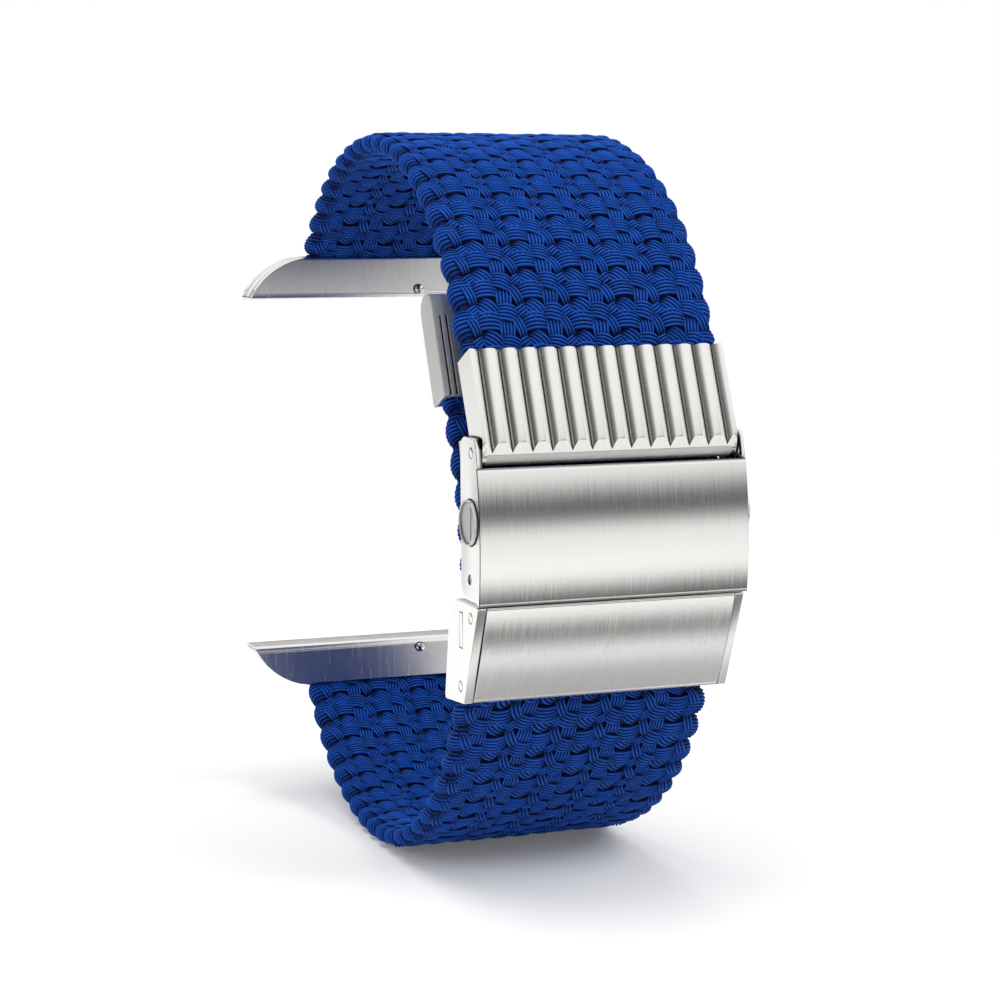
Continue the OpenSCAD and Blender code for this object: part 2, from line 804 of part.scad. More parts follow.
module upper_lock() {
    color(steel)
        lock_button();
}

module upper_lock_spring() {
    color(dark_steel)
        lock_spring();
}

module lower_connector() {
    color(polished)
        lower_lug()
            connector(90 - lower_rear_sweep);
}

module lower_strap_bar() {
    color(dark_steel)
        lower_lug()
            strap_bar();
}

module lower_lock() {
    color(steel)
        lower_lug()
            lock_button();
}

module lower_lock_spring() {
    color(dark_steel)
        lower_lug()
            lock_spring();
}

// Side plate of the lower housing, with a notch in its back edge and holes for what it holds
module side_plate() {
    outside = clasp_w / 2;
    inside = outside - side_plate_t;
    shoulder = housing_shoulder;
    placed()
        difference() {
            across(inside, outside)
                polygon(rounded([
                    [housing_front, housing_top, 0.15],
                    [housing_y(housing_low), housing_low, 0.2],
                    [housing_rear_low, housing_low - 0.4, 0.3],
                    [housing_rear_high, shoulder, 0],
                    [housing_rear_high - 0.55, shoulder + 0.35, 0],
                    [housing_rear_high - 1.8, housing_top, 0.3]]));
            rod(stud, stud_r + fixed, inside - eps, outside + eps);
            rod(strap_pin, strap_pin_r + fixed, inside - eps, outside + eps);
            translate([inside - eps, bridge_y - fixed, bridge_z[0] - fixed])
                cube([side_plate_t + 2 * eps, bridge_t + 2 * fixed, bridge_z[1] - bridge_z[0] + 2 * fixed]);
        }
}

module left_side_plate() {
    color(polished)
        mirror([1, 0, 0])
            side_plate();
}

module right_side_plate() {
    color(polished)
        side_plate();
}

// Front panel: the brushed face of the housing, with ears on the strap pin and ribs on the bridge
panel_bow = 0.2;
module front_panel() {
    half = housing_w / 2 - fixed;
    n = 28;
    low = housing_low + 0.05;
    high = housing_top;
    face = [for (i = [0:n]) let (s = i / n, z = high + (low - high) * s)
            [housing_y(z) - 4 * panel_bow * s * (1 - s), z]];
    inner = [for (i = [n:-1:0]) face[i] + [panel_t / cos(housing_lean), 0]];
    lug_out = half - fixed;
    rib_z = bridge_z[0] + 0.4;
    rib_h = 1;
    color(steel)
    placed() {
        difference() {
            across(-half, half)
                polygon(concat(face, inner));
            across(-half - 1, half + 1)
                polygon([[housing_y(high) - 1, high + eps], [housing_y(high) + 0.22, high + eps],
                         [housing_y(high) - 1, high - 0.5]]);
        }
        both_sides()
            difference() {
                across(held_w / 2 + slack, lug_out)
                    difference() {
                        union() {
                            translate(strap_pin)
                                circle(strap_pin_r + 0.38);
                            polygon([[housing_y(strap_pin[1] - 0.5), strap_pin[1] - 0.5],
                                     [strap_pin[0], strap_pin[1] - strap_pin_r - 0.35],
                                     [strap_pin[0], strap_pin[1] + strap_pin_r + 0.35],
                                     [housing_y(strap_pin[1] + 0.9), strap_pin[1] + 0.9]]);
                        }
                        polygon(concat([face[0] - [3, 0]], face, [face[n] - [3, 0]]));
                    }
                rod(strap_pin, strap_pin_r + fixed, 0, clasp_w);
            }
        both_sides()
            across(tongue_w / 2 + 0.5, tongue_w / 2 + 1.5)
                polygon([[housing_y(rib_z) + 0.4, rib_z], [bridge_y, rib_z], [bridge_y, rib_z + rib_h],
                         [housing_y(rib_z + rib_h) + 0.4, rib_z + rib_h]]);
    }
}

// Back plate: closes the housing behind the strap
module back_plate() {
    half = housing_w / 2 - fixed;
    shoulder = housing_shoulder;
    color(steel)
    placed()
        across(-half, half)
            polygon([[housing_rear_high, shoulder], [housing_rear_high - back_t, shoulder],
                     [housing_rear_low - back_t - 0.02, housing_low - 0.3],
                     [housing_rear_low - 0.02, housing_low - 0.3]]);
}

// Bridge plate: ties the side plates, with a tab through each
module bridge_plate() {
    color(steel)
    placed()
        translate([-clasp_w / 2, bridge_y, bridge_z[0]])
            cube([clasp_w, bridge_t, bridge_z[1] - bridge_z[0]]);
}

// Catch studs: one in each side plate, where the catch spring's feet hook on
module catch_studs() {
    color(polished)
    placed()
        both_sides()
            rod(stud, stud_r, arm_out - spring_t - 0.1, clasp_w / 2);
}

// Strap pin: crosses the housing in front of the short strap
module strap_pin() {
    color(polished)
    placed()
        rod(strap_pin, strap_pin_r, -clasp_w / 2, clasp_w / 2);
}

// End crimp: a folded clip on the short strap's end, with a lip that rests on the strap pin
crimp_wall = 0.22;
module end_crimp() {
    half = strap_t / 2 + fixed;
    reach = 2.3 - strap_pin_r - slack;
    color(steel)
    placed()
        translate([0, grip_end[0], grip_end[1]])
            rotate([grip_angle, 0, 0])
                difference() {
                    across(-held_w / 2 - slack, held_w / 2 + slack)
                        polygon([[-half - crimp_wall, crimp_wall], [half + crimp_wall, crimp_wall],
                                 [half + crimp_wall, -reach], [-half - 0.75, -reach],
                                 [-half - 0.75, -reach + 0.7], [-half - crimp_wall, -reach + 0.7]]);
                    across(-held_w / 2 - 1, held_w / 2 + 1)
                        translate([-half, -reach - 1])
                            square([2 * half, reach + 1 + fixed]);
                }
}

upper_strap();
tip_clip();
left_cheek();
right_cheek();
front_cover();
release_tongue();
base_plate();
turn_bar();
lever_pin();
cover_screws();
catch_spring();
lever();
cam_barrel();
left_button();
right_button();
upper_connector();
upper_strap_bar();
upper_lock();
upper_lock_spring();
lower_strap();
left_side_plate();
right_side_plate();
front_panel();
back_plate();
bridge_plate();
catch_studs();
strap_pin();
end_crimp();
lower_connector();
lower_strap_bar();
lower_lock();
lower_lock_spring();
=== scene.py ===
"""Dresses the braided watch strap: yarns over both halves, steel finishes and a small studio."""

import math
from dataclasses import dataclass

import bpy
import numpy as np
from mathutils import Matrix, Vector


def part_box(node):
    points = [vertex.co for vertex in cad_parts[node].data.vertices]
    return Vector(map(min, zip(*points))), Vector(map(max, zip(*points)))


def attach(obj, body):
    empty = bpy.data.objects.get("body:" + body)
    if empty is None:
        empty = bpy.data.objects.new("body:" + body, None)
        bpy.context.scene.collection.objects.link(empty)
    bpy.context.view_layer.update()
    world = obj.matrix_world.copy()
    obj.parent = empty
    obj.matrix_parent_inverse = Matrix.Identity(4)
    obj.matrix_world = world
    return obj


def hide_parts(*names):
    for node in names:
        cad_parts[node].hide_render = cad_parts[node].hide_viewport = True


bl_info = {
    "name": "Braided watch strap",
    "version": (1, 0, 0),
    "blender": (4, 5, 0),
    "location": "View3D > Sidebar > Strap",
    "description": "Yarns, steel finishes and a studio for a braided strap with a lever clasp",
    "category": "Object",
}

MM = 0.001
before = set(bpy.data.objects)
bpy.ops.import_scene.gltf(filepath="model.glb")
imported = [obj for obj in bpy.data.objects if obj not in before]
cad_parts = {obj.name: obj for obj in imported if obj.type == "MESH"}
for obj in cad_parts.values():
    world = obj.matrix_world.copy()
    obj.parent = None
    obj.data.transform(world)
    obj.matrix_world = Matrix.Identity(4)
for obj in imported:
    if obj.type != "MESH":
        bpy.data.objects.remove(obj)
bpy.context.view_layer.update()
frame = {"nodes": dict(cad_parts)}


def middle(node):
    """Middle of a CAD node's box, seen along X: its place in Y and Z"""
    low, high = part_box(node)
    return np.array([(low.y + high.y) / 2, (low.z + high.z) / 2])


def half_height(node):
    """Half the height of a CAD node's box"""
    low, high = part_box(node)
    return (high.z - low.z) / 2


class BraidSizes(bpy.types.PropertyGroup):
    """Sizes of the braid"""

    width: bpy.props.FloatProperty(
        name="Width", description="Width of the free braid", default=23 * MM, unit="LENGTH")
    draw_in: bpy.props.FloatProperty(
        name="Draw in", description="How far each edge draws in where metal holds the braid",
        default=0.9 * MM, unit="LENGTH")
    thickness: bpy.props.FloatProperty(
        name="Thickness", description="Thickness over the yarns of both faces",
        default=2 * MM, unit="LENGTH")
    column: bpy.props.FloatProperty(
        name="Column pitch", description="Width of one repeat of the pattern",
        default=4.1 * MM, unit="LENGTH")
    row: bpy.props.FloatProperty(
        name="Row pitch", description="Length of one repeat of the pattern",
        default=2.8 * MM, unit="LENGTH")
    upper_bend_r: bpy.props.FloatProperty(
        name="Upper bend", description="Outer radius of the bend over the top of the loop",
        default=27.6 * MM, unit="LENGTH")
    lower_bend_r: bpy.props.FloatProperty(
        name="Lower bend", description="Outer radius of the bend under the loop",
        default=27.2 * MM, unit="LENGTH")
    tail_length: bpy.props.FloatProperty(
        name="Tail", description="Length of the tail above its knee", default=17.2 * MM, unit="LENGTH")
    unevenness: bpy.props.FloatProperty(
        name="Unevenness", description="How much the bundles differ from each other",
        default=1.5, min=0, max=3, subtype="FACTOR")


class BraidColours(bpy.types.PropertyGroup):
    """Colours of the braid"""

    yarn: bpy.props.FloatVectorProperty(
        name="Yarn", description="Colour of the yarns on their crests", subtype="COLOR", size=4,
        default=(0.009, 0.080, 0.44, 1), min=0, max=1)
    # Painted shade: the near-black blue that the yarn material puts between the yarns, on the ends and
    # undersides of bundles, and on the core
    gap: bpy.props.FloatVectorProperty(
        name="Gap", description="Colour between the yarns", subtype="COLOR", size=4,
        default=(0.0008, 0.004, 0.035, 1), min=0, max=1)


class SteelFinish(bpy.types.PropertyGroup):
    """Colour and finish of the steel"""

    tint: bpy.props.FloatVectorProperty(
        name="Steel", description="Colour of the steel", subtype="COLOR", size=4,
        default=(0.895, 0.88, 0.86, 1), min=0, max=1)
    brush_depth: bpy.props.FloatProperty(
        name="Brushing", description="Strength of the brushed lines", default=0.25, min=0, max=1,
        subtype="FACTOR")


class StudioSizes(bpy.types.PropertyGroup):
    """Camera and light"""

    camera: bpy.props.FloatVectorProperty(
        name="Camera", description="Place of the camera", subtype="TRANSLATION", unit="LENGTH",
        default=(-75.27 * MM, -202.455 * MM, 59.33 * MM))
    yaw: bpy.props.FloatProperty(
        name="Yaw", description="Turn of the camera towards +X", default=math.radians(20.40),
        subtype="ANGLE")
    pitch: bpy.props.FloatProperty(
        name="Pitch", description="Downward tilt of the camera", default=math.radians(7.2),
        subtype="ANGLE")
    lens: bpy.props.FloatProperty(
        name="Lens", description="Focal length in millimetres on a 36 mm sensor", default=85.0)


def polar(r, degrees):
    """The point at a distance and a direction from a circle's centre"""
    a = math.radians(degrees)
    return r * np.array([math.cos(a), math.sin(a)])


def slope(degrees):
    """The upward direction that leans back by an angle"""
    a = math.radians(degrees)
    return np.array([math.sin(a), math.cos(a)])


def arc(centre, r, start, end, steps):
    """Points of an arc from one direction to another, in degrees"""
    return [centre + polar(r, start + (end - start) * i / steps) for i in range(steps + 1)]


def unit(v):
    """The direction of v"""
    return v / np.linalg.norm(v)


def tangent_lean(p, centre, r, side):
    """Lean of the line from p that touches a circle, in front (1) or behind (-1)"""
    d = p - centre
    return math.degrees(math.atan2(d[0], d[1]) + side * math.asin(r / np.linalg.norm(d)))


def round_corner(p0, p1, p2, r, steps=16):
    """The arc of radius r that rounds the corner at p1"""
    a, b = unit(p0 - p1), unit(p2 - p1)
    half = math.acos(float(a @ b)) / 2
    centre = p1 + unit(a + b) * r / math.sin(half)
    start = p1 + a * r / math.tan(half) - centre
    end = p1 + b * r / math.tan(half) - centre
    first = math.degrees(math.atan2(start[1], start[0]))
    sweep = math.degrees(math.atan2(start[0] * end[1] - start[1] * end[0], float(start @ end)))
    return arc(centre, r, first, first + sweep, steps)


SAME_PLACE = 1e-6  # metres: points of a path that are nearer than this are one


class StrapPath:
    """The middle line of one half of the strap, made of named runs of points. Its marks say how far
    along the path each run ends, and half_width how wide the braid is along it"""

    def __init__(self, runs):
        points, last = [], {}
        for name, run in runs.items():
            for p in run:
                if not points or np.linalg.norm(p - points[-1]) > SAME_PLACE:
                    points.append(p)
            last[name] = len(points) - 1
        self.points = np.array(points)
        step = np.linalg.norm(np.diff(self.points, axis=0), axis=1)
        self.s = np.concatenate([[0], np.cumsum(step)])
        self.marks = {name: float(self.s[i]) for name, i in last.items()}
        here = np.arange(len(points))
        ahead = self.points[np.minimum(here + 1, len(points) - 1)]
        behind = self.points[np.maximum(here - 1, 0)]
        d = (ahead - behind) / np.linalg.norm(ahead - behind, axis=1)[:, None]
        self.out = np.stack([-d[:, 1], d[:, 0]], 1)
        self.half_width = None

    @property
    def length(self):
        return float(self.s[-1])

    def place(self, x, s, h):
        """Row frame points at x across and s along, h proud of the middle on the loop's outside"""
        y, z = (np.interp(s, self.s, self.points[:, k]) for k in (0, 1))
        ny, nz = (np.interp(s, self.s, self.out[:, k]) for k in (0, 1))
        fit = self.half_width(s) / self.half_width.full
        return np.stack([x * fit, y + ny * h, z + nz * h], -1)


METAL_END = 0.6 * MM  # the braid is at its full width this far inside the end of the metal
EASE = 1.2 * MM  # length along which it comes to that width
SWELL = 0.65 * MM  # how much each edge swells in the room behind the lever's barrel
SWELL_REACH = 1.3 * MM  # from the middle of the swell to where a third of it is left
BEFORE_START = -1.0  # metres: a place that lies before any path


class HalfWidth:
    """Half width of the braid along its path: full, and drawn in between two places. At a swell it
    fills a little of the room beside it"""

    def __init__(self, sizes, drawn_from, drawn_to, swell_at=None):
        self.full = sizes.width / 2
        self.held = sizes.width / 2 - sizes.draw_in
        self.drawn_from, self.drawn_to, self.swell_at = drawn_from, drawn_to, swell_at

    def __call__(self, s):
        s = np.asarray(s, float)
        leaving = np.clip((self.drawn_to - s) / EASE, 0, 1)
        entering = np.clip((s - self.drawn_from) / EASE, 0, 1)
        drawn = np.minimum(leaving, entering)
        drawn = drawn * drawn * (3 - 2 * drawn)
        half = self.full + (self.held - self.full) * drawn
        if self.swell_at is not None:
            half = half + SWELL * np.exp(-((s - self.swell_at) / SWELL_REACH) ** 4)
        return half


# Where the straps run. Angles are in degrees, and those of a bend are from its foremost point
CLEAR = 0.1 * MM  # between the braid and metal
RUN = 0.05 * MM  # between the braid and the bar that it turns round
PLATE = 0.6 * MM  # thickness of the base plate, between the strap's two layers
NIP_REACH = 1.48 * MM  # from the lever's pin to the braid behind its barrel
NIP_ANGLE = 6  # of the upper bend, up to the place behind the barrel
LEVER_TOP_ANGLE = 22.5  # of the upper bend, up to the lever's top
NIP_RUN = 2.4 * MM  # straight run from there down to the knee of the front layer
FRONT_KNEE_R = 8 * MM
SWELL_DROP = 0.6 * MM  # from that knee down to the middle of the swell
TAIL_KNEE_UP = 5.2 * MM  # from the turn bar up to the tail's knee
TAIL_KNEE_R = 12 * MM
TAIL_LEAN = 24  # of the tail above its knee, from upright
LOWER_SET_BACK = 0.6 * MM  # from the foremost point of the upper bend back to that of the lower one
GRIP_ANGLE = 15.5  # of the lower bend, down to the start of its curve in the housing
GRIP_LENGTH = 2.3 * MM  # straight run above that
HOUSING_ANGLE = 23.2  # of the lower bend, down to the housing's end
BEND_STEPS = 80
TURN_STEPS = 60


def bend_centre(sizes):
    """Centre of the bend over the top of the loop"""
    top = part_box("upper_strap")[1].z
    return np.array([middle("lever_pin")[0] + NIP_REACH + sizes.upper_bend_r,
                     top - sizes.upper_bend_r])


def rear_arc(top, lug, side):
    """The arc that leaves the loop's top (side 1) or bottom (side -1) level and ends at a lug"""
    reach, drop = lug[0] - top[0], side * (top[1] - lug[1])
    sweep = 2 * math.degrees(math.atan(drop / reach))
    r = reach / math.sin(math.radians(sweep))
    return arc(np.array([top[0], top[1] - side * r]), r, 90 * side, (90 - sweep) * side, TURN_STEPS)


def upper_path(sizes):
    """From the tail's tip, round the turn bar and up behind the lever, over the top to the lug"""
    t = sizes.thickness
    turn, turn_r = middle("turn_bar"), half_height("turn_bar") + RUN + t / 2
    bend, r = bend_centre(sizes), sizes.upper_bend_r - t / 2
    nip = bend + polar(r, 180 - NIP_ANGLE)
    front_knee = nip - NIP_RUN * slope(NIP_ANGLE)
    front_lean = tangent_lean(front_knee, turn, turn_r, 1)
    lean = math.radians(front_lean)
    front_start = turn + turn_r * np.array([-math.cos(lean), math.sin(lean)])
    layer = (t + PLATE + 2 * CLEAR) / math.cos(lean)
    knee_z = turn[1] + TAIL_KNEE_UP
    knee_y = front_start[0] + (knee_z - front_start[1]) * math.tan(lean) + layer
    tail_knee = np.array([knee_y, knee_z])
    low_lean = tangent_lean(tail_knee, turn, turn_r, -1)
    tip = tail_knee + sizes.tail_length * slope(TAIL_LEAN)
    round_bar = arc(turn, turn_r, -low_lean, -180 - front_lean, TURN_STEPS)
    path = StrapPath({
        "tail": [tip] + round_corner(tip, tail_knee, tail_knee - slope(low_lean), TAIL_KNEE_R),
        "bar start": round_bar[:1],
        "bar": round_bar[1:],
        "lever": (round_corner(front_start, front_knee, nip, FRONT_KNEE_R)
                  + arc(bend, r, 180 - NIP_ANGLE, 180 - LEVER_TOP_ANGLE, 20)),
        "top": arc(bend, r, 180 - LEVER_TOP_ANGLE, 90, BEND_STEPS),
        "rear": rear_arc(bend + polar(r, 90), middle("upper_strap_bar"), 1),
    })
    behind_barrel = path.s[np.argmin(np.linalg.norm(path.points - front_knee, axis=1))]
    path.half_width = HalfWidth(sizes, path.marks["bar start"], path.marks["lever"] - METAL_END,
                                swell_at=behind_barrel - SWELL_DROP)
    return path


def lower_path(sizes):
    """From its end in the housing, round the bottom of the loop to the lug"""
    bend_y = bend_centre(sizes)[0] - sizes.upper_bend_r + sizes.lower_bend_r + LOWER_SET_BACK
    bend = np.array([bend_y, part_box("lower_strap")[0].z + sizes.lower_bend_r])
    r = sizes.lower_bend_r - sizes.thickness / 2
    end = bend + polar(r, 180 + GRIP_ANGLE) + GRIP_LENGTH * slope(-GRIP_ANGLE)
    path = StrapPath({
        "housing": [end] + arc(bend, r, 180 + GRIP_ANGLE, 180 + HOUSING_ANGLE, 10),
        "bottom": arc(bend, r, 180 + HOUSING_ANGLE, 270, BEND_STEPS),
        "rear": rear_arc(bend + polar(r, 270), middle("lower_strap_bar"), -1),
    })
    path.half_width = HalfWidth(sizes, BEFORE_START, path.marks["housing"] - METAL_END)
    return path


YARN_RELIEF = 0.21  # millimetres from a valley to the crest beside it
FOOT = 0.25  # millimetres that a bundle's sides reach down
POINTS_PER_YARN = 4
RIDGE_POWER = 0.75  # below 1 rounds a yarn's crest
DOME_POWER = 2.6  # the higher, the flatter a bundle's middle
END_NARROWING = 0.18  # how much narrower a bundle's ends are, as a share of its width


def yarn_ridges(yarns):
    """Places across a group of yarns, from -0.5 to 0.5, and how high each lies on its yarn"""
    v = np.linspace(-0.5, 0.5, POINTS_PER_YARN * yarns + 1)
    return v, np.abs(np.sin(np.pi * yarns * (v + 0.5))) ** RIDGE_POWER


def closed(values, under=None):
    """Rings of values with the two points that close each on its underside: at a value that is
    given, or else straight under the ring's two ends"""
    if under is None:
        return np.concatenate([values, values[:, -1:], values[:, :1]], 1)
    under = np.broadcast_to(under, (len(values), 1))
    return np.concatenate([values, under, under], 1)


@dataclass
class Bundle:
    """One bundle of side by side yarns in the braid's repeat. Sizes in millimetres: x across the
    strap, s along it, and turn in degrees from across towards the lug"""

    x: float
    s: float
    length: float
    width: float
    yarns: int
    turn: float
    bow: float  # how far its middle bends sideways
    low: float  # height of its ends
    rise: float  # of its middle above that
    steps: int  # from its first ring to its last
    fan: float = 0.0  # how much wider one end is than the other

    def rings(self):
        """Closed rings along the bundle: (ring, point) arrays of along, across, height and crest"""
        v, ridge = yarn_ridges(self.yarns)
        shoulder = 1 - (2 * np.abs(v)) ** 4
        t = np.linspace(-1, 1, self.steps + 1)[:, None]
        dome = 1 - np.abs(t) ** DOME_POWER
        narrow = 1 - END_NARROWING * t ** 2 + self.fan * t
        along = np.repeat(t * self.length / 2, len(v), 1)
        across = v * self.width * narrow + self.bow * (1 - t ** 2)
        height = (self.low + self.rise * dome * (0.75 + 0.25 * shoulder)
                  + YARN_RELIEF * ridge * (0.5 + 0.5 * dome))
        # Painted shade: the crest falls towards the bundle's ends and is 0 on its underside, and the
        # material darkens the yarn where it is low
        crest = ridge * (0.35 + 0.65 * dome)
        return closed(along), closed(across), closed(height, self.low - FOOT), closed(crest, 0.0)


# The braid's repeat on a face, from the middle of its longest bundle
REPEAT = [
    Bundle(0.00, 0.00, 2.90, 1.62, 5, 0, 0.40, 0.48, 0.30, 8),
    Bundle(1.62, 0.92, 2.30, 1.56, 5, -17, 0.24, 0.48, 0.29, 7, fan=0.06),
    Bundle(-1.52, -0.12, 2.20, 0.96, 3, -66, 0.10, 0.48, 0.29, 5),
    Bundle(1.56, -0.42, 1.90, 1.50, 5, 86, 0.0, 0.46, 0.22, 5, fan=0.08),
    Bundle(0.02, -1.55, 2.25, 1.72, 5, -43, 0.14, 0.46, 0.20, 5),
    Bundle(-1.22, -1.50, 1.50, 0.84, 3, 32, 0.0, 0.47, 0.22, 4),
]


def loft_faces(rings, points):
    """Quads between closed rings, and then a face that caps each end"""
    i, j = np.meshgrid(np.arange(rings - 1), np.arange(points), indexing="ij")
    k = (j + 1) % points
    quads = np.stack([i * points + j, i * points + k, (i + 1) * points + k, (i + 1) * points + j], -1)
    ring = np.arange(points)[None, :]
    return quads.reshape(-1, 4), ring[:, ::-1], (rings - 1) * points + ring


class YarnMesh:
    """Gathers lofts in flat coordinates and makes one object of them along a path"""

    def __init__(self):
        self.points, self.yarn, self.loops, self.sizes = [], [], [], []
        self.count = 0

    def add(self, place, yarn, mirrored=False):
        """place is x, s and h in metres, and yarn is what build stores: (copy, ring, point) arrays.
        Each copy is lofted through its rings, and a mirrored one has its faces turned round"""
        arrays = np.broadcast_arrays(*place, *yarn)
        copies, rings, points = arrays[0].shape
        starts = self.count + rings * points * np.arange(copies)[:, None, None]
        self.points.append(np.stack(arrays[:3], -1).reshape(-1, 3))
        self.yarn.append(np.stack(arrays[3:], -1).reshape(-1, 3))
        for faces in loft_faces(rings, points):
            faces = faces[:, ::-1] if mirrored else faces
            self.loops.append((starts + faces[None]).reshape(-1))
            self.sizes.append(np.full(copies * len(faces), faces.shape[1]))
        self.count += copies * rings * points

    def build(self, name, path, material):
        """Makes the object. Each point keeps its place along its yarn, its height on the yarn and
        its bundle's tone, for the material to read"""
        points = path.place(*np.concatenate(self.points).T)
        mesh = bpy.data.meshes.new(name)
        loops, sizes = np.concatenate(self.loops), np.concatenate(self.sizes)
        mesh.vertices.add(len(points))
        mesh.vertices.foreach_set("co", points.astype(np.float32).ravel())
        mesh.loops.add(len(loops))
        mesh.loops.foreach_set("vertex_index", loops.astype(np.int32))
        mesh.polygons.add(len(sizes))
        starts = np.concatenate([[0], np.cumsum(sizes)[:-1]])
        mesh.polygons.foreach_set("loop_start", starts.astype(np.int32))
        mesh.polygons.foreach_set("use_smooth", np.ones(len(sizes), bool))
        mesh.update(calc_edges=True)
        yarn = mesh.attributes.new("yarn", "FLOAT_VECTOR", "POINT")
        yarn.data.foreach_set("vector", np.concatenate(self.yarn).astype(np.float32).ravel())
        mesh.validate()
        mesh.materials.append(material)
        return put(name, mesh)


def put(name, data):
    """A new object in the scene"""
    thing = bpy.data.objects.new(name, data)
    bpy.context.scene.collection.objects.link(thing)
    return thing


# How much bundles and lobes differ at an unevenness of 1
TURN_SPREAD = 0.06  # radians
SIZE_SPREAD = 0.04  # of 1
SIDE_SPREAD = 0.05  # millimetres across the strap
ALONG_SPREAD = 0.04  # millimetres along it
HEIGHT_SPREAD = 0.03  # millimetres
LOBE_SIZE_SPREAD = 0.02  # of 1
LOBE_ALONG_SPREAD = 0.05  # millimetres


def mixed(rng, count, spread):
    """A random value for each copy, up to a spread either way"""
    return rng.uniform(-spread, spread, (count, 1, 1))


def add_bundles(yarns, bundle, xs, ss, side, rng, unevenness):
    """Adds one copy of a bundle at each place xs, ss in metres, on the outer (1) or inner (-1)
    face"""
    along, across, height, crest = bundle.rings()
    n, u = len(xs), unevenness
    turn = math.radians(bundle.turn) + mixed(rng, n, TURN_SPREAD * u)
    along = along[None] * (1 + mixed(rng, n, SIZE_SPREAD * u))
    across = across[None] * (1 + mixed(rng, n, SIZE_SPREAD * u))
    x = (along * np.cos(turn) - across * np.sin(turn)) * side + mixed(rng, n, SIDE_SPREAD * u)
    s = along * np.sin(turn) + across * np.cos(turn) + mixed(rng, n, ALONG_SPREAD * u)
    h = height[None] + mixed(rng, n, HEIGHT_SPREAD * u)
    place = xs[:, None, None] + x * MM, ss[:, None, None] + s * MM, side * h * MM
    yarns.add(place, (along * MM, crest, mixed(rng, n, 1.0)))


FACE_INSET = 0.95 * MM  # bundles whose middle is nearer to the braid's edge are left out
FIRST_COLUMN = 7.75 * MM  # from the middle of the strap to a column near its edge
COLUMNS = np.arange(-1, 7)  # counted from that one: enough for the whole width


def face_places(sizes, bundle, start, end, side):
    """Where the copies of a bundle lie on a face between two places along the strap"""
    columns = FIRST_COLUMN - sizes.column * COLUMNS + bundle.x * MM
    columns = columns[np.abs(columns) < sizes.width / 2 - FACE_INSET]
    rows = np.arange(math.floor(start / sizes.row), math.ceil(end / sizes.row) + 1) * sizes.row
    x, s = np.meshgrid(columns * side, rows + bundle.s * MM)
    keep = (s.ravel() > start) & (s.ravel() < end)
    return x.ravel()[keep], s.ravel()[keep]


def face_yarns(sizes, start, end, side, rng):
    """Bundles of one face of the braid between two places along it"""
    yarns = YarnMesh()
    for bundle in REPEAT:
        xs, ss = face_places(sizes, bundle, start, end, side)
        add_bundles(yarns, bundle, xs, ss, side, rng, sizes.unevenness)
    return yarns


# A lobe of yarn round an edge, in millimetres
LOBE_YARNS = 8
LOBE_STEPS = 10
LOBE_INSET = 0.92  # from the braid's edge to the middle that a lobe bends round
LOBE_FOOT = 1.8  # from the braid's edge to the underside of a lobe
LOBE_OUT = (0.30, 0.57)  # how far it stands out from that middle, at its sides and more at its crown
LOBE_HEIGHT = (0.52, 0.26)  # how far it stands over the faces, in the same way
LOBE_RUN = 0.9  # how far its ends run in over the faces
LOBE_SHARE = 0.97  # its width as a share of the row pitch
LOBE_SLANT = 0.40  # how far its ends are apart along the strap, each way
LOBE_BOW = 0.2  # how far its crown is ahead of its sides along the strap
LOBE_UNDER = 0.3  # half of the thickness of its underside
LOBE_FLATTEN = 0.18  # how much lower it is at its ends, as a share
LOBE_NARROW = 0.12  # how much narrower it is there, as a share
ROW_SHIFT = 0.3  # how far the +X edge's lobes are ahead, as a share of the row pitch


def edge_lobe(sizes):
    """A lobe at the +X edge, as closed rings: the turn round the edge, x, h, s and crest"""
    v, ridge = yarn_ridges(LOBE_YARNS)
    swell = np.cos(np.pi * v) ** 0.8
    turn = np.radians(np.linspace(90, -90, LOBE_STEPS + 1))[:, None]
    ends = np.abs(np.sin(turn)) ** 6
    edge = sizes.width / 2 / MM
    out = LOBE_OUT[0] + LOBE_OUT[1] * swell + YARN_RELIEF * ridge * (0.4 + 0.6 * np.cos(turn))
    x = edge - LOBE_INSET + out * np.cos(turn) - LOBE_RUN * ends
    height = LOBE_HEIGHT[0] + LOBE_HEIGHT[1] * swell + YARN_RELIEF * ridge
    h = height * np.sin(turn) * (1 - LOBE_FLATTEN * ends)
    width = v * LOBE_SHARE * sizes.row / MM * (1 - LOBE_NARROW * ends)
    s = width + LOBE_SLANT * np.sin(turn) + LOBE_BOW * swell
    # Painted shade: the crest falls towards the lobe's sides and is 0 on its underside, and the
    # material darkens the yarn where it is low
    crest = np.broadcast_to(ridge * (0.5 + 0.5 * swell), x.shape)
    x, h = closed(x, edge - LOBE_FOOT), closed(h, LOBE_UNDER * np.sin(turn))
    return turn, x, h, closed(s), closed(crest, 0.0)


def edge_yarns(sizes, start, end, rng):
    """Lobes of yarn that wrap round both edges from one face to the other"""
    yarns = YarnMesh()
    turn, x, h, s, crest = edge_lobe(sizes)
    rows = np.arange(math.ceil(start / sizes.row), math.floor(end / sizes.row) + 1) * sizes.row
    edge, count = sizes.width / 2 / MM, len(rows)
    for side in (-1, 1):
        places = (rows + (ROW_SHIFT if side > 0 else 0.0) * sizes.row)[:, None, None]
        grow = 1 + mixed(rng, count, LOBE_SIZE_SPREAD * sizes.unevenness)
        shift = mixed(rng, count, LOBE_ALONG_SPREAD * sizes.unevenness)
        place = side * (edge - (edge - x) * grow) * MM, places + s * MM + shift * MM, h * MM
        yarns.add(place, (turn * MM, crest, mixed(rng, count, 1.0)), mirrored=side < 0)
    return yarns


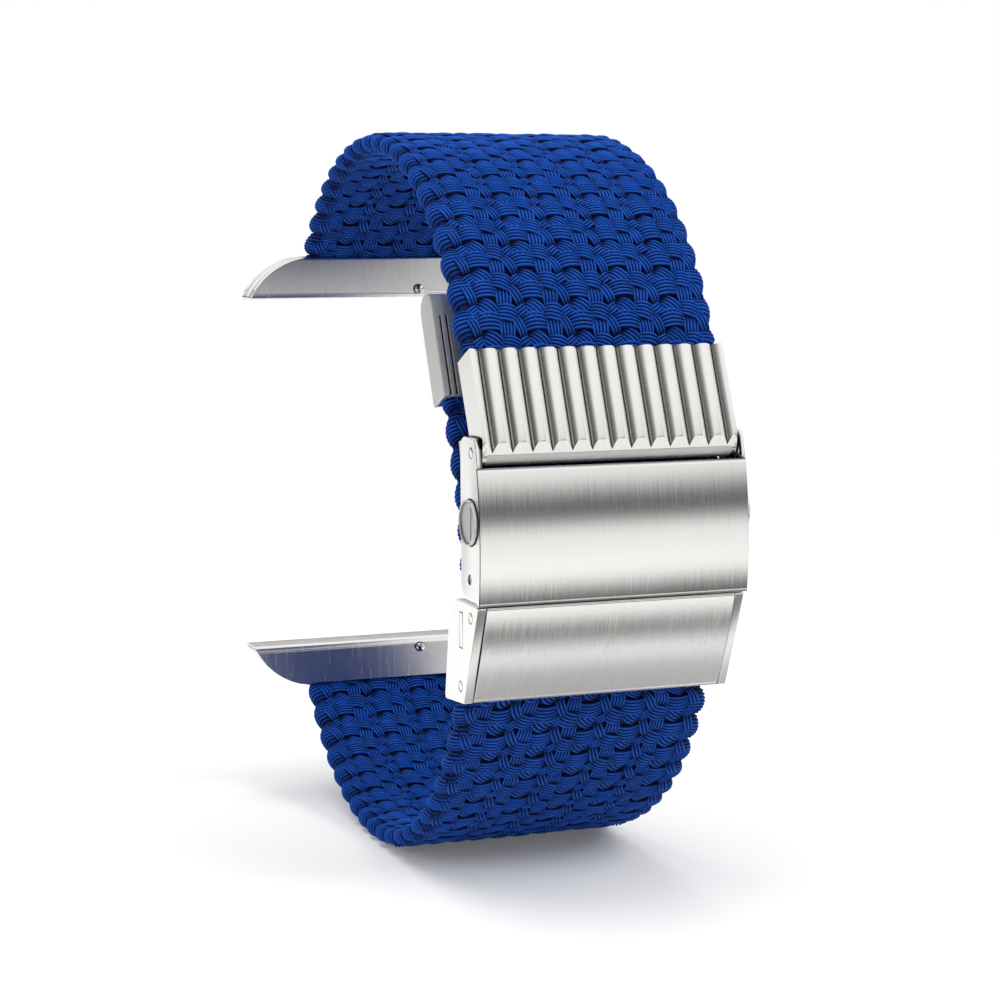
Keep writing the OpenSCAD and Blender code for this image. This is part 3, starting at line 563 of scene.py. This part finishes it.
class Nodes:
    """A short way to write a node tree"""

    def __init__(self, tree):
        self.tree = tree

    def feed(self, node, inputs):
        """Links each input of a node to a socket, or sets its value"""
        for key, value in inputs.items():
            if isinstance(value, bpy.types.NodeSocket):
                self.tree.links.new(value, node.inputs[key])
            else:
                node.inputs[key].default_value = value

    def add(self, kind, inputs=None, **settings):
        node = self.tree.nodes.new(kind)
        for key, value in settings.items():
            setattr(node, key, value)
        self.feed(node, inputs or {})
        return node

    def math(self, operation, *values):
        return self.add("ShaderNodeMath", dict(enumerate(values)), operation=operation).outputs[0]

    def mix(self, factor, a, b):
        """Colour a where the factor is 0, and b where it is 1"""
        return self.add("ShaderNodeMix", {"Factor": factor, 6: a, 7: b}, data_type="RGBA").outputs[2]

    def noise(self, place, scale, detail=2.0):
        inputs = {"Vector": place, "Scale": scale, "Detail": detail}
        return self.add("ShaderNodeTexNoise", inputs).outputs[0]

    def place(self):
        """The place on the object, in metres"""
        return self.add("ShaderNodeTexCoord").outputs["Object"]

    def split(self, vector):
        """The X, Y and Z sockets of a vector"""
        return self.add("ShaderNodeSeparateXYZ", {0: vector}).outputs

    def ramp(self, value, low, high, new_low=0.0, new_high=1.0, curve="LINEAR"):
        node = self.add("ShaderNodeMapRange", {"Value": value, "From Min": low, "From Max": high,
                                               "To Min": new_low, "To Max": new_high},
                        interpolation_type=curve)
        return node.outputs[0]

    def band(self, value, start, full, fade, end, depth):
        """1 away from a band, and down to 1 - depth inside it"""
        into = self.ramp(value, start, full, curve="SMOOTHSTEP")
        out = self.ramp(value, fade, end, 1.0, 0.0, curve="SMOOTHSTEP")
        inside = self.math("MULTIPLY", self.math("MULTIPLY", into, out), depth)
        return self.math("SUBTRACT", 1.0, inside)


WHITE = (1, 1, 1, 1)
# Near-black for the painted shade in steel seams, and for the gels where they darken reflections
SHADE_DARK = (0.02, 0.018, 0.015, 1)


def scaled(colour, factor):
    """A colour made darker or lighter, with no part of it above 1"""
    return tuple(min(1.0, c * factor) for c in colour[:3]) + (1,)


def blank_material(name):
    """A material with an empty node tree"""
    material = bpy.data.materials.get(name) or bpy.data.materials.new(name)
    material.use_nodes = True
    material.node_tree.nodes.clear()
    return material, Nodes(material.node_tree)


def surface_material(name):
    """A material with one surface shader, and its output"""
    material, nodes = blank_material(name)
    shader = nodes.add("ShaderNodeBsdfPrincipled")
    nodes.add("ShaderNodeOutputMaterial", {0: shader.outputs[0]})
    return material, nodes, shader


PLY_PITCH = 0.16 * MM  # of the twist in each yarn
CREST_LIT = (0.42, 0.95)  # heights on a yarn between which the painted shade between the yarns turns into the yarn's colour
MOTTLE = (0.86, 1.12)  # least and most brightness of the mottled yarn
TONE_SHARE = 0.06  # how much a bundle's own tone adds to that
MOTTLE_SCALE = 900.0  # per metre, as the next two
FIBRE_SCALE = 6000.0
WEAVE_SCALE = 2500.0


def yarn_material(colours):
    """Blue yarn with painted shade between the yarns, with a fine ply along each"""
    _, nodes, shader = surface_material("Braid yarn")
    along, crest, tone = nodes.split(
        nodes.add("ShaderNodeAttribute", attribute_name="yarn").outputs["Vector"])
    place = nodes.place()
    mottle = nodes.noise(place, MOTTLE_SCALE, 3.0)
    fibre = nodes.noise(place, FIBRE_SCALE)
    # Painted shade: the yarn's colour darkens to the near-black blue low on each yarn
    lit = nodes.ramp(crest, *CREST_LIT)
    body = nodes.mix(lit, tuple(colours.gap), tuple(colours.yarn))
    shade = nodes.math("ADD", nodes.ramp(mottle, 0.3, 0.7, *MOTTLE),
                       nodes.math("MULTIPLY", tone, TONE_SHARE))
    tinted = nodes.add("ShaderNodeHueSaturation", {"Color": body, "Value": shade}).outputs[0]
    ply = nodes.math("SINE", nodes.math("MULTIPLY", along, 2 * math.pi / PLY_PITCH))
    height = nodes.math("ADD", nodes.math("MULTIPLY", ply, 0.25), fibre)
    bump = nodes.add("ShaderNodeBump", {"Height": height, "Strength": 0.35, "Distance": 0.03 * MM})
    nodes.feed(shader, {"Base Color": tinted, "Normal": bump.outputs[0], "Roughness": 0.75,
                        "Specular IOR Level": 0.12, "Sheen Weight": 0.12, "Sheen Roughness": 0.4,
                        "Sheen Tint": (0.25, 0.45, 1.0, 1)})


def core_material(colours):
    """The inside of the braid, seen only between the yarns, in painted shade: the dark blue between
    the yarns with a weave pattern
    """
    _, nodes, shader = surface_material("Braid core")
    weave = nodes.noise(nodes.place(), WEAVE_SCALE)
    colour = nodes.mix(weave, tuple(colours.gap), scaled(colours.gap, 3.0))
    nodes.feed(shader, {"Base Color": colour, "Roughness": 0.9})


def once(name, make):
    """The node group of a name, which is made the first time it is asked for"""
    return bpy.data.node_groups.get(name) or make(name)


def new_group(name, kind, inputs, outputs, sockets="NodeSocketFloat"):
    """A node group whose inputs are given by name and default, and its outputs by name"""
    group = bpy.data.node_groups.new(name, kind)
    for socket, default in inputs.items():
        made = group.interface.new_socket(socket, in_out="INPUT", socket_type=sockets)
        if default is not None:
            made.default_value = default
    for socket in outputs:
        group.interface.new_socket(socket, in_out="OUTPUT", socket_type=sockets)
    nodes = Nodes(group)
    return group, nodes, nodes.add("NodeGroupInput"), nodes.add("NodeGroupOutput")


BRUSH_PITCH = 0.06 * MM
BRUSH_LENGTH = 6 * MM
WIDE_SHARE = (0.4, 0.6, 0.6)  # scale of the wide streaks, as a share of the fine lines' scale


def brush_group(name):
    """Fine lines across X: a height for bump, and a streak mask for roughness and colour"""
    group, nodes, start, end = new_group(
        name, "ShaderNodeTree", {"Line pitch": BRUSH_PITCH, "Line length": BRUSH_LENGTH},
        ["Height", "Streaks"])
    x, y, z = nodes.split(nodes.place())
    pitch, length = start.outputs["Line pitch"], start.outputs["Line length"]
    fine = nodes.add("ShaderNodeCombineXYZ", {0: nodes.math("DIVIDE", x, pitch),
                                              1: nodes.math("DIVIDE", y, length),
                                              2: nodes.math("DIVIDE", z, length)}).outputs[0]
    wide = nodes.add("ShaderNodeVectorMath", {0: fine, 1: WIDE_SHARE},
                     operation="MULTIPLY").outputs[0]
    lines, bands = nodes.noise(fine, 1.0, 3.0), nodes.noise(wide, 1.0)
    streaks = nodes.math("MULTIPLY", nodes.math("ADD", lines, bands), 0.5)
    nodes.feed(end, {"Height": lines, "Streaks": streaks})
    return group


SEAM_REACH = 0.2 * MM
SEAM_OPEN = (0.66, 0.97)  # shares of open air between which the painted shade of a seam fades into the steel's own colour
SEAM_LEFT = 0.05  # share of the steel's colour left in the darkest painted shade of a seam


def seam_group(name):
    """Painted shade in the narrow gaps where two pieces meet, darker where less open air lies around a
    point
    """
    group, nodes, start, end = new_group(name, "ShaderNodeTree", {"Reach": SEAM_REACH}, ["Shade"])
    open_air = nodes.add("ShaderNodeAmbientOcclusion", {"Distance": start.outputs["Reach"]}, samples=8)
    nodes.feed(end, {"Shade": nodes.ramp(open_air.outputs["AO"], *SEAM_OPEN, SEAM_LEFT, 1.0)})
    return group


SQUARE_TO_X = 0.93  # least X part of the normal of a face that counts as square to X


def steel_material(name, tint, roughness, depth, streak, pitch=BRUSH_PITCH, length=BRUSH_LENGTH,
                   spread=0.0, waver=0.0, rim=None):
    """Steel with brushed lines. depth is the strength of their bump, streak how much they vary the
    tint, spread how far they draw out a reflection, and waver how far they tip it. A rim is the
    tint of all faces but those square to X"""
    material, nodes, shader = surface_material(name)
    brush = nodes.add("ShaderNodeGroup", {"Line pitch": pitch, "Line length": length},
                      node_tree=once("Brushed lines", brush_group))
    streaks = brush.outputs["Streaks"]
    brushed = nodes.mix(nodes.ramp(streaks, 0.35, 0.65),
                        scaled(tint, 1 - streak), scaled(tint, 1 + streak))
    surface = nodes.add("ShaderNodeNewGeometry").outputs
    if rim:
        facing = nodes.math("ABSOLUTE", nodes.split(surface["True Normal"])[0])
        brushed = nodes.mix(nodes.math("GREATER_THAN", facing, SQUARE_TO_X), rim, brushed)
    seam_shade = nodes.add("ShaderNodeGroup", node_tree=once("Seam shade", seam_group)).outputs["Shade"]
    tip = nodes.math("MULTIPLY", nodes.math("SUBTRACT", streaks, 0.5), waver)
    lean = nodes.add("ShaderNodeCombineXYZ", {2: tip}).outputs[0]
    tipped = nodes.add("ShaderNodeVectorMath", {0: surface["Normal"], 1: lean}).outputs[0]
    tipped = nodes.add("ShaderNodeVectorMath", {0: tipped}, operation="NORMALIZE").outputs[0]
    bump = nodes.add("ShaderNodeBump", {"Height": brush.outputs["Height"], "Strength": depth,
                                        "Distance": 0.01 * MM, "Normal": tipped})
    # Painted shade: the brushed tint darkens to near-black in narrow seams and grooves
    nodes.feed(shader, {
        "Base Color": nodes.mix(seam_shade, SHADE_DARK, brushed),
        "Roughness": nodes.ramp(streaks, 0.3, 0.7, roughness * 0.85, roughness * 1.2),
        "Normal": bump.outputs[0], "Metallic": 1.0})
    if spread:
        tangent = nodes.add("ShaderNodeTangent", direction_type="RADIAL", axis="X")
        nodes.feed(shader, {"Anisotropic": spread, "Anisotropic Rotation": 0.25,
                            "Tangent": tangent.outputs[0]})
    return material


FINISHES = {
    "polished": ["left_side_plate", "right_side_plate", "lever_pin", "strap_pin",
                 "catch_studs", "bridge_plate", "upper_lock", "lower_lock"],
    "brushed": ["front_cover", "front_panel", "left_cheek", "right_cheek"],
    "grey": ["left_button", "right_button"],
    "satin": ["lever", "upper_connector", "lower_connector"],
    "matt": ["cam_barrel", "tip_clip"],
    "plain": ["release_tongue", "base_plate", "turn_bar", "cover_screws", "catch_spring",
              "upper_strap_bar", "upper_lock_spring", "back_plate", "end_crimp",
              "lower_strap_bar", "lower_lock_spring"],
}

SHARP = math.radians(35)  # least angle of an edge that counts as sharp
FLAT = math.radians(0.2)  # most angle between two faces of one flat
WELD = 0.002 * MM  # points nearer than this are one
FAR = 1.0  # metres: past the end of any piece


def geometry_group(name, fill):
    """A geometry node group. fill takes its nodes and the shape that comes in, and gives the shape
    that goes out"""
    group, nodes, start, end = new_group(name, "GeometryNodeTree", {"Geometry": None}, ["Geometry"],
                                         "NodeSocketGeometry")
    nodes.feed(end, {0: fill(nodes, start.outputs[0])})
    return group


def stored(nodes, shape, attribute, value, data_type):
    """Stores a value on each edge of a shape"""
    node = nodes.add("GeometryNodeStoreNamedAttribute",
                     {"Geometry": shape, "Name": attribute, "Value": value},
                     data_type=data_type, domain="EDGE")
    return node.outputs[0]


def sharp_edges(nodes):
    """1 on the sharp edges"""
    return nodes.math("GREATER_THAN", nodes.add("GeometryNodeInputMeshEdgeAngle").outputs[0], SHARP)


def joined_faces(nodes, shape):
    """Joins the faces of a CAD piece at their shared edges"""
    joined = nodes.add("GeometryNodeMergeByDistance", {0: shape, "Distance": WELD}).outputs[0]
    return nodes.add("GeometryNodeSetShadeSmooth", {0: joined, "Shade Smooth": True}).outputs[0]


def kept_edges(nodes, shape):
    """Keeps the sharp edges of a softly shaded piece sharp"""
    return stored(nodes, shape, "sharp_edge", sharp_edges(nodes), "BOOLEAN")


def marked_edges(nodes, shape, low, high):
    """Marks the sharp edges that lie between two distances from the strap's middle plane"""
    off = nodes.math("ABSOLUTE", nodes.split(nodes.add("GeometryNodeInputPosition").outputs[0])[0])
    inside = nodes.math("MULTIPLY", nodes.math("GREATER_THAN", off, low),
                        nodes.math("LESS_THAN", off, high))
    weight = nodes.math("MULTIPLY", sharp_edges(nodes), inside)
    return stored(nodes, shape, "bevel_weight_edge", weight, "FLOAT")


def reshape(node, name, fill):
    """Puts a geometry node group on a CAD piece, as a modifier"""
    group = once(name, lambda name: geometry_group(name, fill))
    node.modifiers.new(name, "NODES").node_group = group


def ease_edges(node, width, low=0.0, high=FAR):
    """Rounds the sharp edges of a steel piece a little, as tumbling leaves them"""
    reshape(node, "Joined faces", joined_faces)
    flats = node.modifiers.new("Whole flats", "DECIMATE")
    flats.decimate_type, flats.angle_limit = "DISSOLVE", FLAT
    reshape(node, f"Edges {low / MM:.2f} to {high / MM:.2f} mm out",
            lambda nodes, shape: marked_edges(nodes, shape, low, high))
    edges = node.modifiers.new("Eased edges", "BEVEL")
    edges.width, edges.segments = width, 2
    edges.limit_method, edges.use_clamp_overlap = "WEIGHT", False
    node.modifiers.new("Flat faces", "WEIGHTED_NORMAL")


COVER_EASE = 0.06 * MM
PLATE_EASE = 0.07 * MM
SMALL_EASE = 0.05 * MM
PLATES = ["left_side_plate", "right_side_plate", "front_panel", "bridge_plate", "tip_clip"]
SMALL_PIECES = ["left_button", "right_button", "lever_pin", "catch_studs", "strap_pin",
                "cover_screws", "upper_connector", "lower_connector", "upper_lock", "lower_lock"]


def ease_all_edges():
    """Eases the edges that show. The seams between the cover and the cheeks stay tight, and the
    lever's ribs are shaded softly between their sharp edges"""
    nodes = frame["nodes"]
    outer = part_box("right_cheek")[1].x - 0.1 * MM
    for name in ("left_cheek", "right_cheek"):
        ease_edges(nodes[name], COVER_EASE, low=outer)
    ease_edges(nodes["front_cover"], COVER_EASE, high=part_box("lever")[1].x)
    reshape(nodes["lever"], "Joined faces", joined_faces)
    reshape(nodes["lever"], "Kept edges", kept_edges)
    for name in PLATES:
        ease_edges(nodes[name], PLATE_EASE)
    for name in SMALL_PIECES:
        ease_edges(nodes[name], SMALL_EASE)


class STRAP_OT_steel(bpy.types.Operator):
    """Gives each steel piece its finish"""

    bl_idname = "strap.steel"
    bl_label = "Steel pieces"

    def execute(self, context):
        finish = context.scene.strap_steel
        tint = tuple(finish.tint)
        settings = {
            "polished": dict(tint=tint, roughness=0.16, depth=0.02, length=12 * MM, streak=0.01),
            "brushed": dict(tint=tint, roughness=0.24, depth=finish.brush_depth, pitch=0.03 * MM,
                            length=4 * MM, streak=0.02, spread=0.85, waver=0.05),
            "grey": dict(tint=scaled(tint, 0.66), roughness=0.42, depth=0.15, streak=0.10, rim=tint),
            "matt": dict(tint=tint, roughness=0.55, depth=0.10, streak=0.04),
            "satin": dict(tint=tint, roughness=0.24, depth=0.06, pitch=0.045 * MM, streak=0.02),
            "plain": dict(tint=scaled(tint, 0.85), roughness=0.35, depth=0.12, streak=0.06),
        }
        for kind, names in FINISHES.items():
            material = steel_material(f"{kind.capitalize()} steel", **settings[kind])
            for name in names:
                node = frame["nodes"][name]
                node.data.materials.clear()
                node.data.materials.append(material)
        ease_all_edges()
        return {"FINISHED"}


def braid_piece(yarns, name, path, body):
    """Makes one piece of gathered yarns"""
    piece = yarns.build(name, path, bpy.data.materials["Braid yarn"])
    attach(piece, body)


CORE_INSET = 0.7 * MM  # from the braid's edge to the band under the yarns
CORE_HALF = 0.44 * MM  # half of the band's thickness
CORE_STEP = 0.4 * MM
TIP_INSET = 0.3 * MM  # from the tail's tip to the band
CLIP_END = 7.6 * MM  # from the tail's tip to the end of its clip
LUG_RUN_ON = 0.5 * MM  # yarns whose middle is up to this far past the strap's end are made too
HOUSING_RUN_IN = 3.0 * MM  # how far the yarns of the short half run on into the housing


def core_piece(name, path, start, end, body, node):
    """Makes the closed band under the yarns, which stands for the smooth strap of the CAD"""
    half_x, half_h = path.half_width.full - CORE_INSET, CORE_HALF
    s = np.linspace(start, end, int((end - start) / CORE_STEP))
    ring = np.array([(-half_x, -half_h), (half_x, -half_h), (half_x, half_h), (-half_x, half_h)])
    band = YarnMesh()
    band.add((ring[:, 0], s[None, :, None], ring[:, 1]), (0.0, 0.0, 0.0), mirrored=True)
    core = band.build(name, path, bpy.data.materials["Braid core"])
    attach(core, body)
    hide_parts(node)


UPPER_SEED = 7
LOWER_SEED = 11


class STRAP_OT_upper_braid(bpy.types.Operator):
    """Makes the long half of the braid, with its tail inside the loop"""

    bl_idname = "strap.upper_braid"
    bl_label = "Long braid"

    def execute(self, context):
        sizes, body = context.scene.strap_braid, "upper_half"
        yarn_material(context.scene.strap_colours)
        core_material(context.scene.strap_colours)
        path = upper_path(sizes)
        rng = np.random.default_rng(UPPER_SEED)
        lever_top, end = path.marks["lever"], path.length + LUG_RUN_ON
        core_piece("upper_braid_core", path, TIP_INSET, path.length, body, "upper_strap")
        braid_piece(face_yarns(sizes, CLIP_END, lever_top, 1, rng), "upper_braid_tail", path, body)
        braid_piece(face_yarns(sizes, lever_top, end, 1, rng), "upper_braid_outer", path, body)
        braid_piece(face_yarns(sizes, lever_top, end, -1, rng), "upper_braid_inner", path, body)
        braid_piece(face_yarns(sizes, CLIP_END, path.marks["tail"], -1, rng),
                    "upper_braid_tail_front", path, body)
        braid_piece(edge_yarns(sizes, CLIP_END, end, rng), "upper_braid_edges", path, body)
        return {"FINISHED"}


class STRAP_OT_lower_braid(bpy.types.Operator):
    """Makes the short half of the braid"""

    bl_idname = "strap.lower_braid"
    bl_label = "Short braid"

    def execute(self, context):
        sizes, body = context.scene.strap_braid, "lower_half"
        path = lower_path(sizes)
        rng = np.random.default_rng(LOWER_SEED)
        start, end = path.marks["housing"] - HOUSING_RUN_IN, path.length + LUG_RUN_ON
        core_piece("lower_braid_core", path, 0, path.length, body, "lower_strap")
        braid_piece(face_yarns(sizes, start, end, 1, rng), "lower_braid_outer", path, body)
        braid_piece(face_yarns(sizes, start, end, -1, rng), "lower_braid_inner", path, body)
        braid_piece(edge_yarns(sizes, start, end, rng), "lower_braid_edges", path, body)
        return {"FINISHED"}


def gel(name, corners, level):
    """A dark film that only reflections see. The corners go round its panes, in metres. level
    takes the nodes and the place in metres, and gives how much light passes"""
    mesh = bpy.data.meshes.new(name)
    mesh.from_pydata(corners, [], [tuple(range(i, i + 4)) for i in range(0, len(corners), 4)])
    material, nodes = blank_material(name)
    colour = nodes.mix(level(nodes, nodes.split(nodes.place())), SHADE_DARK, WHITE)
    film = nodes.add("ShaderNodeBsdfTransparent", {"Color": colour}).outputs[0]
    nodes.add("ShaderNodeOutputMaterial", {0: film})
    mesh.materials.append(material)
    flag = put(name, mesh)
    flag.visible_camera = flag.visible_diffuse = flag.visible_shadow = False
    flag.visible_transmission = False


def ring_corners(r, low, high, start=0, end=360, panes=48):
    """Panes bent round the object, between two directions in degrees from +X"""
    corners = []
    for i in range(panes):
        a, b = (polar(r, start + (end - start) * k / panes) for k in (i, i + 1))
        corners += [(*a, low), (*b, low), (*b, high), (*a, high)]
    return corners


# Where the gels darken: start, full, fade and end of a band, and its depth
HORIZON_BAND = (0.015, 0.060, 0.078, 0.165, 1.0)  # metres above the floor
LEFT_BAND = (*(math.radians(a) for a in (-148, -128, -76, 0)), 1.0)  # from ahead towards +X
FLOOR_BANDS = [(0.02, 0.030, 0.036, 0.0405, 0.58),  # metres ahead
               (0.0405, 0.0440, 0.0465, 0.0505, 0.97),
               (0.056, 0.070, 0.090, 0.135, 1.0)]


def horizon_level(nodes, place):
    """A dark line round the horizon"""
    return nodes.band(place[2], *HORIZON_BAND)


def left_level(nodes, place):
    """A dark stretch at the left, which the cover shows"""
    ahead = nodes.math("MULTIPLY", place[1], -1.0)
    return nodes.band(nodes.math("ARCTAN2", place[0], ahead), *LEFT_BAND)


def floor_level(nodes, place):
    """Dark lines on the floor in front, which the lower parts of the clasp show"""
    ahead = nodes.math("MULTIPLY", place[1], -1.0)
    near, first, second = (nodes.band(ahead, *band) for band in FLOOR_BANDS)
    return nodes.math("MULTIPLY", nodes.math("MULTIPLY", near, first), second)


WORLD_STRENGTH = 0.5
LOOP_MIDDLE = (0, 0, 0.03)
# Name, place, size and power of each lamp
LAMPS = [("Key lamp", (0.30, -0.35, 0.45), (0.35, 0.35), 1.6),
         ("Top lamp", (-0.10, 0.05, 0.60), (0.5, 0.5), 1.8),
         ("Side lamp", (-0.45, -0.15, 0.20), (0.25, 0.35), 0.6)]


def lamp(name, place, size, power):
    """A panel of light that faces the loop and is not seen in the steel"""
    data = bpy.data.lights.new(name, "AREA")
    data.shape = "RECTANGLE"
    data.size, data.size_y = size
    data.energy = power
    thing = put(name, data)
    thing.location = place
    thing.rotation_euler = (Vector(LOOP_MIDDLE) - Vector(place)).to_track_quat("-Z", "Y").to_euler()
    thing.visible_glossy = False


def backdrop_mask(nodes):
    """1 for the rays that see the background as it is: from the camera, in metal and in glass"""
    path = nodes.add("ShaderNodeLightPath")
    seen = nodes.math("MAXIMUM", path.outputs["Is Camera Ray"], path.outputs["Is Glossy Ray"])
    return nodes.math("MAXIMUM", seen, path.outputs["Is Transmission Ray"])


def world_light(strength):
    """A white world, which lights the object at the given strength"""
    world = bpy.data.worlds.new("Studio")
    bpy.context.scene.world = world
    world.use_nodes = True
    world.cycles.sampling_method = "NONE"
    world.node_tree.nodes.clear()
    nodes = Nodes(world.node_tree)
    level = nodes.ramp(backdrop_mask(nodes), 0.0, 1.0, strength, 1.0)
    shader = nodes.add("ShaderNodeBackground", {"Color": WHITE, "Strength": level})
    nodes.add("ShaderNodeOutputWorld", {0: shader.outputs[0]})


PAPER_FADE = (0.10, 0.26)  # metres from the object, where the floor turns into the background
PAPER = ((0.90, 0.90, 0.90, 1), (0.92, 0.92, 0.92, 1))  # its colours, mixed by a grain
PAPER_GRAIN = 300.0  # scale of that, per metre
PAPER_LIFT = 0.10  # light that the floor adds, as the camera sees it


def floor_material():
    """Pale floor that keeps the shadow near the object and runs into the white background"""
    material, nodes = blank_material("Studio floor")
    place = nodes.place()
    pale = nodes.mix(nodes.noise(place, PAPER_GRAIN), *PAPER)
    paper = nodes.add("ShaderNodeBsdfDiffuse", {"Color": pale}).outputs[0]
    glow = nodes.add("ShaderNodeEmission", {"Color": WHITE, "Strength": 1.0}).outputs[0]
    away = nodes.add("ShaderNodeVectorMath", {0: place}, operation="LENGTH").outputs["Value"]
    seen = backdrop_mask(nodes)
    lift = nodes.math("MULTIPLY", seen, PAPER_LIFT)
    bright = nodes.add("ShaderNodeEmission", {"Color": WHITE, "Strength": lift}).outputs[0]
    near = nodes.add("ShaderNodeAddShader", {0: paper, 1: bright}).outputs[0]
    share = nodes.math("MULTIPLY", nodes.ramp(away, *PAPER_FADE), seen)
    blend = nodes.add("ShaderNodeMixShader", {0: share, 1: near, 2: glow}).outputs[0]
    nodes.add("ShaderNodeOutputMaterial", {0: blend})
    return material


def place_camera(scene, sizes):
    """Puts the camera where the photo was taken from"""
    data = bpy.data.cameras.new("Camera")
    data.sensor_width, data.lens = 36, sizes.lens
    data.clip_start, data.clip_end = 0.01, 20
    camera = put("Camera", data)
    ahead = Vector((math.sin(sizes.yaw) * math.cos(sizes.pitch),
                    math.cos(sizes.yaw) * math.cos(sizes.pitch), -math.sin(sizes.pitch)))
    camera.location = sizes.camera
    camera.rotation_euler = ahead.to_track_quat("-Z", "Y").to_euler()
    scene.camera = camera
    scene.view_settings.view_transform = "Standard"


FLOOR_REACH = 6.0  # metres, each way
FLOOR_GEL_HEIGHT = 0.0004
FLOOR_GEL = [(-0.1, -0.17), (0.2, -0.17), (0.2, -0.02), (-0.1, -0.02)]


def lay_floor():
    """Lays the floor under the object"""
    mesh = bpy.data.meshes.new("Floor")
    corners = [(-1, -1), (1, -1), (1, 1), (-1, 1)]
    mesh.from_pydata([(x * FLOOR_REACH, y * FLOOR_REACH, 0) for x, y in corners], [], [(0, 1, 2, 3)])
    mesh.materials.append(floor_material())
    floor = put("Floor", mesh)


class STRAP_OT_studio(bpy.types.Operator):
    """Sets the camera, the lights, the floor and the gels"""

    bl_idname = "strap.studio"
    bl_label = "Studio"

    def execute(self, context):
        place_camera(context.scene, context.scene.strap_studio)
        lay_floor()
        world_light(WORLD_STRENGTH)
        for settings in LAMPS:
            lamp(*settings)
        gel("Horizon gel", ring_corners(r=0.5, low=0.01, high=0.17), horizon_level)
        gel("Left gel", ring_corners(r=0.4, low=0.0, high=0.6, start=118, end=276), left_level)
        gel("Floor gel", [(x, y, FLOOR_GEL_HEIGHT) for x, y in FLOOR_GEL], floor_level)
        return {"FINISHED"}


class STRAP_PT_panel(bpy.types.Panel):
    """Lists the strap's sizes, colours and pieces"""

    bl_label = "Braided watch strap"
    bl_idname = "STRAP_PT_panel"
    bl_space_type = "VIEW_3D"
    bl_region_type = "UI"
    bl_category = "Strap"

    def draw(self, context):
        for name, _ in SETTINGS:
            group = getattr(context.scene, name)
            box = self.layout.box()
            for key in group.bl_rna.properties.keys():
                if key not in {"rna_type", "name"}:
                    box.prop(group, key)
        for operator in OPERATORS:
            self.layout.operator(operator.bl_idname)


SETTINGS = [("strap_braid", BraidSizes), ("strap_colours", BraidColours), ("strap_steel", SteelFinish),
            ("strap_studio", StudioSizes)]
OPERATORS = [STRAP_OT_studio, STRAP_OT_steel, STRAP_OT_upper_braid, STRAP_OT_lower_braid]
CLASSES = [group for _, group in SETTINGS] + OPERATORS + [STRAP_PT_panel]


def register():
    for cls in CLASSES:
        bpy.utils.register_class(cls)
    for name, group in SETTINGS:
        setattr(bpy.types.Scene, name, bpy.props.PointerProperty(type=group))


def unregister():
    for name, _ in SETTINGS:
        delattr(bpy.types.Scene, name)
    for cls in reversed(CLASSES):
        bpy.utils.unregister_class(cls)


def main():
    register()
    bpy.ops.strap.studio()
    bpy.ops.strap.steel()
    bpy.ops.strap.upper_braid()
    bpy.ops.strap.lower_braid()


if __name__ == "__main__":
    main()
